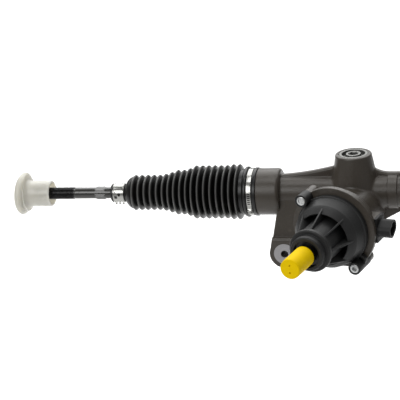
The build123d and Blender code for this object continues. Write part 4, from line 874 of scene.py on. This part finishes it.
class RACK_OT_thread_caps(bpy.types.Operator):
    """Models both thread caps: a hub that flares into a leaning domed flange"""

    bl_idname = "steering_rack.thread_caps"
    bl_label = "Thread caps"

    def execute(self, context):
        sizes = context.scene.steering_rack.thread_caps
        opening = on_rack(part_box("left_thread_cap")[1].x - sizes.inset)
        cap = combine(self.hub(sizes, opening), self.flange(sizes, opening), "UNION")
        combine(cap, self.hole(sizes, opening), "DIFFERENCE")
        finish_pair(cap, "{}_cap", "milky_plastic", "{}_cap", "{}_thread_cap")
        return {"FINISHED"}

    def hub(self, sizes, opening):
        """The sleeve over the thread, rounded at its mouth and flared at the flange."""
        lip, flare = sizes.lip, sizes.flare
        root = sizes.length - sizes.edge - flare
        line = [(0, 0)]
        line += arc((lip, sizes.hub - lip), (lip, lip), math.pi, math.pi / 2, 5)
        line += arc((root, sizes.hub + flare), (flare, flare), -math.pi / 2, 0, 8)
        line += [(sizes.length, sizes.hub + flare), (sizes.length, 0)]
        return turn(line, opening, -ALONG_RACK)

    def flange(self, sizes, opening):
        """The domed disc: a rounded back edge that runs on into the dome."""
        edge = sizes.edge
        height = edge + sizes.dome
        line = [(-edge, 0)]
        line += arc((0, sizes.flange - edge), (edge, edge), math.pi, math.pi / 2, 6)[:-1]
        line += arc((0, 0), (height, sizes.flange), math.pi / 2, 0, 24)
        line[-1] = (height, 0)
        lean = Quaternion((0, 1, 0), sizes.tilt)
        return turn(line, opening - ALONG_RACK * sizes.length, lean @ -ALONG_RACK)

    def hole(self, sizes, opening):
        """A cutter for the wide mouth, the shoulder and the bore for the thread."""
        mouth, bore, depth = sizes.mouth, sizes.bore, sizes.depth
        shoulder = sizes.mouth_depth
        draft = 0.0006
        outside = -0.002
        end = 0.0015
        line = [(outside, 0), (outside, mouth + draft), (0, mouth + draft), (0.0009, mouth),
                (shoulder, mouth - draft), (shoulder + 0.0025, bore + 0.002), (shoulder + 0.0045, bore),
                (depth - end, bore), (depth, bore - end), (depth, 0)]
        return turn(line, opening, -ALONG_RACK, 64)


class RACK_OT_large_clamps(bpy.types.Operator):
    """Models both large clamps: a strip with a ladder of slots and a pinched ear"""

    bl_idname = "steering_rack.large_clamps"
    bl_label = "Large clamps"

    def execute(self, context):
        sizes = context.scene.steering_rack.clamps
        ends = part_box("left_large_clamp")
        low, high = ends[0].x, ends[1].x
        outer = sizes.large
        inner = outer - sizes.large_band
        section = rounded([(low, inner), (low, outer), (high, outer), (high, inner)], 0.0002)
        band = turn(section, on_rack(0), ALONG_RACK, 144)
        slot = [(-1.6, -0.6), (1.6, -0.6), (1.6, 0.6), (-1.6, 0.6)]
        for n in range(sizes.slots):
            place = sizes.slot_angle + n * sizes.slot_step
            combine(band, band_cutter((low + high) / 2, place, outer, slot, 0.0004), "DIFFERENCE")
        clamp = joined([band, self.ear(low, high, sizes), self.lip(low, high, sizes)])
        finish_pair(clamp, "{}_strip_clamp", "clamp_steel", "housing", "{}_large_clamp", smooth=32)
        return {"FINISHED"}

    def ear(self, low, high, sizes):
        """The ear that was pinched to tighten the strip."""
        inset = 0.0003
        half = [(0.4, 0.9), (0.5, 2.4), (1.2, 3), (2.5, 3), (3.2, 2.4), (3.3, 1.2), (3.9, 0.3), (5.4, -0.1),
                (5.4, -0.7)]
        outline = [(-across, out) for across, out in reversed(half)] + half
        return band_bend(low + inset, sizes.ear_angle, sizes.large, outline, high - low - 2 * inset, 0.0002)

    def lip(self, low, high, sizes):
        """The end of the strip that lies on top of the ladder's end."""
        inset = 0.0002
        x = low + inset
        turns = [sizes.lip_angle + math.radians(0.6 * n - 5) for n in range(9)]
        points = [round_rack(x, turned, sizes.large + 0.0004) for turned in turns]
        points += [round_rack(x, turned, sizes.large - 0.0003) for turned in reversed(turns)]
        return soften(slab(points, ALONG_RACK * (high - low - 2 * inset)), 0.00015)


class RACK_OT_small_clamps(bpy.types.Operator):
    """Models both small clamps: a wide spring band with a hole, a window and comb teeth"""

    bl_idname = "steering_rack.small_clamps"
    bl_label = "Small clamps"

    def execute(self, context):
        sizes = context.scene.steering_rack.clamps
        inset = context.scene.steering_rack.bellows.inset
        low, high = (corner.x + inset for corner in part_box("left_small_clamp"))
        band = self.band(low, high, sizes)
        middle = (low + high) / 2
        drop = [(-0.6, 2.3), (0.6, 2.3), (1.7, 0.2), (1.5, -1.1), (0.6, -1.8), (-0.6, -1.8), (-1.5, -1.1),
                (-1.7, 0.2)]
        window = [(-1.7, -1.7), (1.7, -1.7), (1.7, 1.7), (-1.7, 1.7)]
        notch = [(-0.5, -1.2), (0.5, -1.2), (0.5, 1.2), (-0.5, 1.2)]
        holes = [(middle + 0.0012, 172, drop), (middle - 0.003, 190, window), (low + 0.0028, 158, notch)]
        for x, degrees, outline in holes:
            combine(band, band_cutter(x, math.radians(degrees), sizes.small, outline, 0.0006), "DIFFERENCE")
        pitch = (high - low) / sizes.teeth
        clamp = joined([band, *(self.tooth(low + pitch * (n + 0.5), sizes) for n in range(sizes.teeth))])
        finish_pair(clamp, "{}_spring_clamp", "clamp_steel", "{}_rod", "{}_small_clamp", smooth=32)
        return {"FINISHED"}

    def band(self, low, high, sizes):
        """The band with a raised rim on both sides."""
        inner = sizes.small - sizes.small_band
        raised = sizes.small + 0.0003
        rim = 0.0009
        slope = rim * 1.5
        section = [(low, inner), (low, raised), (low + rim, raised), (low + slope, sizes.small),
                   (high - slope, sizes.small), (high - rim, raised), (high, raised), (high, inner)]
        return turn(rounded(section, 0.00025, 3), on_rack(0), ALONG_RACK, 112)

    def tooth(self, x, sizes):
        """One tooth of the comb, bent outwards from the band."""
        outline = [(-1.6, -0.4), (-1.2, 1.6), (-0.6, 2.6), (0.4, 3), (1.5, 2.8), (1.5, 2.2), (0.5, 2.3),
                   (-0.1, 2), (-0.5, 1.4), (-0.8, -0.4)]
        width = sizes.tooth_width
        return band_bend(x - width / 2, sizes.tooth_angle, sizes.small, outline, width, 0.00015)


class RACK_OT_yoke_plug(bpy.types.Operator):
    """Models the adjusting plug on top of the boss, with ring groove and hexagon socket"""

    bl_idname = "steering_rack.yoke_plug"
    bl_label = "Yoke plug"

    def execute(self, context):
        low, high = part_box("yoke_plug")
        centre = (low + high) / 2
        foot = Vector((centre.x, centre.y, low.z))
        top = Vector((centre.x, centre.y, high.z))
        height = (high.z - low.z) * 1000
        radius = (high.x - low.x) * 500
        floor = height - 5
        line = [(0, 0, 0), (0, radius, 0.4), (height - 0.6, radius, 0.3), (height, radius - 0.6, 0.3),
                (height, 12.9, 0.5), (floor, 12.9, 0.8), (floor, 8.3, 0.8), (height, 8.3, 0.6),
                (height, 0, 0)]
        plug = turn(rounded(mm(line), 0.0004, 4), foot, UP, 112)
        socket = slab(polygon(top - UP * 0.006, ALONG_RACK, Vector((0, 1, 0)), 0.00577, 6), UP * 0.01)
        combine(plug, socket, "DIFFERENCE")
        lead = turn(mm([(-1, 0), (-1, 4.9), (0.1, 6.1), (0.1, 0)]), top, UP, 48)
        combine(plug, lead, "DIFFERENCE")
        finish_piece(plug, "adjusting_plug", "bare_aluminium", "housing", ["yoke_plug"], smooth=32)
        return {"FINISHED"}


class RACK_OT_pinion_cap(bpy.types.Operator):
    """Models the soft cap over the input shaft, with two vent holes"""

    bl_idname = "steering_rack.pinion_cap"
    bl_label = "Pinion cap"

    def execute(self, context):
        reach = [(v.co - PINION_AT).dot(ALONG_PINION) * 1000 for v in NODES["pinion_cap"].data.vertices]
        start = min(reach)
        end = max(reach)
        line = [(end - 3.6, 0, 0), (end - 3.6, 8.7, 0.6), (start, 8.7, 0.5), (start, 11.1, 0.8),
                (start + 3, 11.1, 0.5), (end - 3, 10.95, 1), (end, 10.7, 1.3), (end, 0, 0)]
        cap = turn(rounded(mm(line), 0.0011, 5), PINION_AT, ALONG_PINION, 96)
        vent_line = mm([(end - 6, 0), (end - 6, 0.9), (end + 2, 0.9), (end + 2, 0)])
        for height in (-0.004, 0.004):
            combine(cap, turn(vent_line, PINION_AT + UP * height, ALONG_PINION, 24), "DIFFERENCE")
        finish_piece(cap, "soft_cap", "yellow_plastic", "pinion_cap", ["pinion_cap"])
        return {"FINISHED"}


def lug_angles(sizes):
    """Places of the upper and the lower screw lug round the cover."""
    return sizes.bolt_angle, sizes.bolt_angle + math.pi


class RACK_OT_cover_bolts(bpy.types.Operator):
    """Models the two socket-head screws of the sensor cover"""

    bl_idname = "steering_rack.cover_bolts"
    bl_label = "Cover screws"

    def execute(self, context):
        sizes = context.scene.steering_rack.cover
        tips = (0.072, 0.058)
        screws = []
        for angle, tip in zip(lug_angles(sizes), tips):
            screws.append(self.screw(sizes, beside_pinion(angle, sizes.bolt_circle), tip))
        finish_piece(joined(screws), "cover_screws", "zinc_steel", "housing", ["cover_bolts"], smooth=30)
        return {"FINISHED"}

    def screw(self, sizes, place, tip):
        """One screw: shank, head with rounded edge, hexagon socket with a lead-in."""
        head, seat, front = sizes.bolt_head, sizes.bolt_seat, sizes.bolt_front
        shank = 0.003
        line = [(tip, 0), (tip, shank - 0.0006), (tip + 0.0006, shank), (seat, shank), (seat, head - 0.0002),
                (seat + 0.0002, head), (front - 0.0009, head), (front - 0.0003, head - 0.0003),
                (front, head - 0.0009), (front, 0)]
        screw = turn(line, place, ALONG_PINION, 48)
        face = place + ALONG_PINION * front
        depth = ALONG_PINION * 0.003
        combine(screw, slab(polygon(face - depth, ACROSS_PINION, UP, 0.00289, 6), depth * 2), "DIFFERENCE")
        lead = turn(mm([(-0.5, 0), (-0.5, 2.4), (0.1, 3.1), (0.1, 0)]), face, ALONG_PINION, 36)
        return combine(screw, lead, "DIFFERENCE")


class RACK_OT_sensor_cover(bpy.types.Operator):
    """Models the ribbed cover of the torque sensor with its screw lugs"""

    bl_idname = "steering_rack.sensor_cover"
    bl_label = "Sensor cover"

    def execute(self, context):
        sizes = context.scene.steering_rack.cover
        pieces = [self.shell()]
        pieces += [self.rib(sizes, 2 * math.pi * n / sizes.ribs) for n in range(sizes.ribs)]
        backs = (sizes.upper_lug, sizes.lower_lug)
        pieces += [self.lug(sizes, angle, back) for angle, back in zip(lug_angles(sizes), backs)]
        pieces.append(self.ear(sizes))
        finish_piece(joined(pieces), "ribbed_cover", "charcoal_plastic", "housing", ["sensor_cover"])
        return {"FINISHED"}

    def shell(self):
        """The turned shape: rim, shoulder, sloping face, pocket, hub, neck and step, then the inside."""
        outside = [(80, 40, 0.3), (86, 40, 0.6), (86.4, 38.5, 0.6), (100.5, 35.5, 1.6), (102.8, 34, 1.2),
                   (109, 29, 0.8), (107.8, 27.8, 0.6), (92, 27.8, 1.5), (92, 22, 1.5), (135, 20.8, 1.0),
                   (135, 22.1, 0.3), (136.2, 23.3, 0.7), (140.3, 23.3, 0.7), (141.5, 22.1, 0.5),
                   (141.5, 18.8, 0.6), (148.8, 18.8, 0.6), (150, 17.6, 0.5)]
        inside = [(150, 14.6, 0.3), (143, 14.6, 0.3), (143, 10.5, 0.3), (140, 10.5, 0.3), (137, 17.8, 0.5),
                  (89, 19, 0.5), (89, 30.8, 0.5), (99, 30.8, 0.5), (96, 32.5, 0.5), (86, 32.5, 0.5),
                  (83, 33.4, 0.5), (74, 33.4, 0.3), (74, 36.7, 0.3), (80, 36.7, 0.3)]
        return turn(rounded(mm(outside + inside), 0.0005, 4), PINION_AT, ALONG_PINION, 128)

    def rib(self, sizes, angle):
        """One rib from the sloping face across the pocket to the neck, with soft edges."""
        out = round_pinion(angle)
        aside = ALONG_PINION.cross(out)
        outline = mm([(90.5, 20.5), (90.5, 29), (102, 34), (135.2, 22), (135.2, 19)])
        points = [PINION_AT + ALONG_PINION * s + out * r - aside * (sizes.rib / 2) for s, r in outline]
        return soften(slab(points, aside * sizes.rib), 0.0005, 3)

    def lug(self, sizes, angle, back):
        """A screw lug with a counterbore for the head, tied to the rim by a short web."""
        out = round_pinion(angle)
        aside = ALONG_PINION.cross(out)
        seat, front = sizes.bolt_seat, sizes.bolt_front
        hole = sizes.bolt_head + 0.0002
        shank_hole = 0.0033
        line = [(back, shank_hole), (back, sizes.lug, 0.0004), (front, sizes.lug, 0.0006),
                (front, hole, 0.0003), (seat, hole), (seat, shank_hole)]
        lug = turn(rounded(line, 0.0001, 3), PINION_AT + out * sizes.bolt_circle, ALONG_PINION, 56)
        web = mm([(36, -5.5), (40.5, -5.5), (40.5, 5.5), (36, 5.5)])
        rim_back, rim_depth = 0.08, 0.006
        points = [PINION_AT + ALONG_PINION * rim_back + out * r + aside * a for r, a in web]
        return joined([lug, soften(slab(points, ALONG_PINION * rim_depth), 0.0008, 3)])

    def ear(self, sizes):
        """The open ear in the rim beside the lower lug."""
        angle = sizes.bolt_angle + math.pi + math.radians(8.5)
        line = mm([(80, 3.2), (80, 6), (86, 6), (86, 3.2)])
        return turn(rounded(line, 0.0006, 3), beside_pinion(angle, 0.043), ALONG_PINION, 48)


class RACK_OT_connector(bpy.types.Operator):
    """Rounds the edges of the sensor's connector"""

    bl_idname = "steering_rack.connector"
    bl_label = "Connector"

    def execute(self, context):
        piece = copy_node("sensor_connector")
        soften(piece, 0.0005, 3, 40)
        finish_piece(piece, "plug_connector", "black_plastic", "housing", ["sensor_connector"])
        return {"FINISHED"}


class RACK_OT_finish_nodes(bpy.types.Operator):
    """Gives every piece of the frame that still shows its own finish"""

    bl_idname = "steering_rack.finish_nodes"
    bl_label = "Finish the frame"

    def execute(self, context):
        for name, node in NODES.items():
            node.data.materials.clear()
            node.data.materials.append(finish_of(SLOT_OF_NODE[name]))
        return {"FINISHED"}


class RACK_OT_stage(bpy.types.Operator):
    """Sets up the floor, the soft light and the camera"""

    bl_idname = "steering_rack.stage"
    bl_label = "Stage"

    def execute(self, context):
        stage = context.scene.steering_rack.stage
        self.floor(stage)
        self.light(context, stage)
        self.camera(context, stage)
        return {"FINISHED"}

    def floor(self, stage):
        """A wide pale floor below the part."""
        start_fresh()
        middle = (CAD_BOX[0] + CAD_BOX[1]) / 2
        ground = CAD_BOX[0].z - stage.floor_drop
        bpy.ops.mesh.primitive_plane_add(size=40, location=(middle.x, middle.y, ground))
        floor = bpy.context.object
        floor.name = "floor"
        finish = Finish("pale_floor")
        finish.colour((0.93, 0.93, 0.93))
        finish.rough(0.9)
        floor.data.materials.append(finish.material)

    def light(self, context, stage):
        """Dim light from all round, two soft lights over the part and a wide one over the floor behind."""
        world = bpy.data.worlds.new("studio")
        world.use_nodes = True
        background = world.node_tree.nodes["Background"]
        background.inputs["Color"].default_value = (1, 1, 1, 1)
        background.inputs["Strength"].default_value = stage.sky
        context.scene.world = world
        context.scene.view_settings.view_transform = "Standard"
        part = on_rack(0)
        behind = Vector((-0.55, 2.0, CAD_BOX[0].z - stage.floor_drop))
        self.lamp("key", Vector((-0.55, -1.25, 0.85)), part, (1.0, 0.8), stage.key)
        self.lamp("top", Vector((-0.1, -0.25, 1.5)), part, (0.7, 0.7), stage.key * 0.6)
        self.lamp("floor_light", behind + UP * 1.5, behind, (3.2, 3.4), stage.back)

    def lamp(self, name, place, target, sides, watts):
        """A rectangular soft light aimed at a point."""
        start_fresh()
        bpy.ops.object.light_add(type="AREA", location=place)
        light = bpy.context.object
        light.name = name
        light.data.shape = "RECTANGLE"
        light.data.size, light.data.size_y = sides
        light.data.energy = watts
        light.rotation_euler = (target - place).to_track_quat("-Z", "Y").to_euler()

    def camera(self, context, stage):
        """The photo's view: from the front right and above, rolled so that the rack lies level."""
        flat = Vector((math.sin(stage.azimuth), -math.cos(stage.azimuth), 0))
        back = flat * math.cos(stage.elevation) + UP * math.sin(stage.elevation)
        bpy.ops.object.camera_add(location=on_rack(stage.target) + back * stage.distance)
        camera = bpy.context.object
        turned = (-back).to_track_quat("-Z", "Y")
        turned = turned @ Quaternion((0, 0, 1), -stage.roll) @ Quaternion((1, 0, 0), -stage.tilt)
        camera.rotation_euler = turned.to_euler()
        camera.data.lens = stage.lens
        camera.data.sensor_width = 36
        camera.data.clip_end = 100
        context.scene.camera = camera


class RACK_PT_panel(bpy.types.Panel):
    """Sidebar panel with the steps in order"""

    bl_label = "Steering rack"
    bl_idname = "RACK_PT_panel"
    bl_space_type = "VIEW_3D"
    bl_region_type = "UI"
    bl_category = "Steering rack"

    def draw(self, context):
        for operator in OPERATORS:
            self.layout.operator(operator.bl_idname)


OPERATORS = (
    RACK_OT_finish_nodes,
    RACK_OT_bellows,
    RACK_OT_tie_rods,
    RACK_OT_thread_caps,
    RACK_OT_large_clamps,
    RACK_OT_small_clamps,
    RACK_OT_yoke_plug,
    RACK_OT_pinion_cap,
    RACK_OT_cover_bolts,
    RACK_OT_sensor_cover,
    RACK_OT_connector,
    RACK_OT_stage,
)
SETTINGS = (
    RackFinishes,
    BellowsSizes,
    RodSizes,
    ThreadCapSizes,
    ClampSizes,
    CoverSizes,
    StageSettings,
    RackSettings,
)
CLASSES = (*SETTINGS, *OPERATORS, RACK_PT_panel)


def register():
    for entry in CLASSES:
        bpy.utils.register_class(entry)
    bpy.types.Scene.steering_rack = PointerProperty(type=RackSettings)


def unregister():
    del bpy.types.Scene.steering_rack
    for entry in reversed(CLASSES):
        bpy.utils.unregister_class(entry)


def main():
    register()
    bpy.ops.steering_rack.finish_nodes()
    bpy.ops.steering_rack.bellows()
    bpy.ops.steering_rack.tie_rods()
    bpy.ops.steering_rack.thread_caps()
    bpy.ops.steering_rack.large_clamps()
    bpy.ops.steering_rack.small_clamps()
    bpy.ops.steering_rack.yoke_plug()
    bpy.ops.steering_rack.pinion_cap()
    bpy.ops.steering_rack.cover_bolts()
    bpy.ops.steering_rack.sensor_cover()
    bpy.ops.steering_rack.connector()
    bpy.ops.steering_rack.stage()


if __name__ == "__main__":
    main()
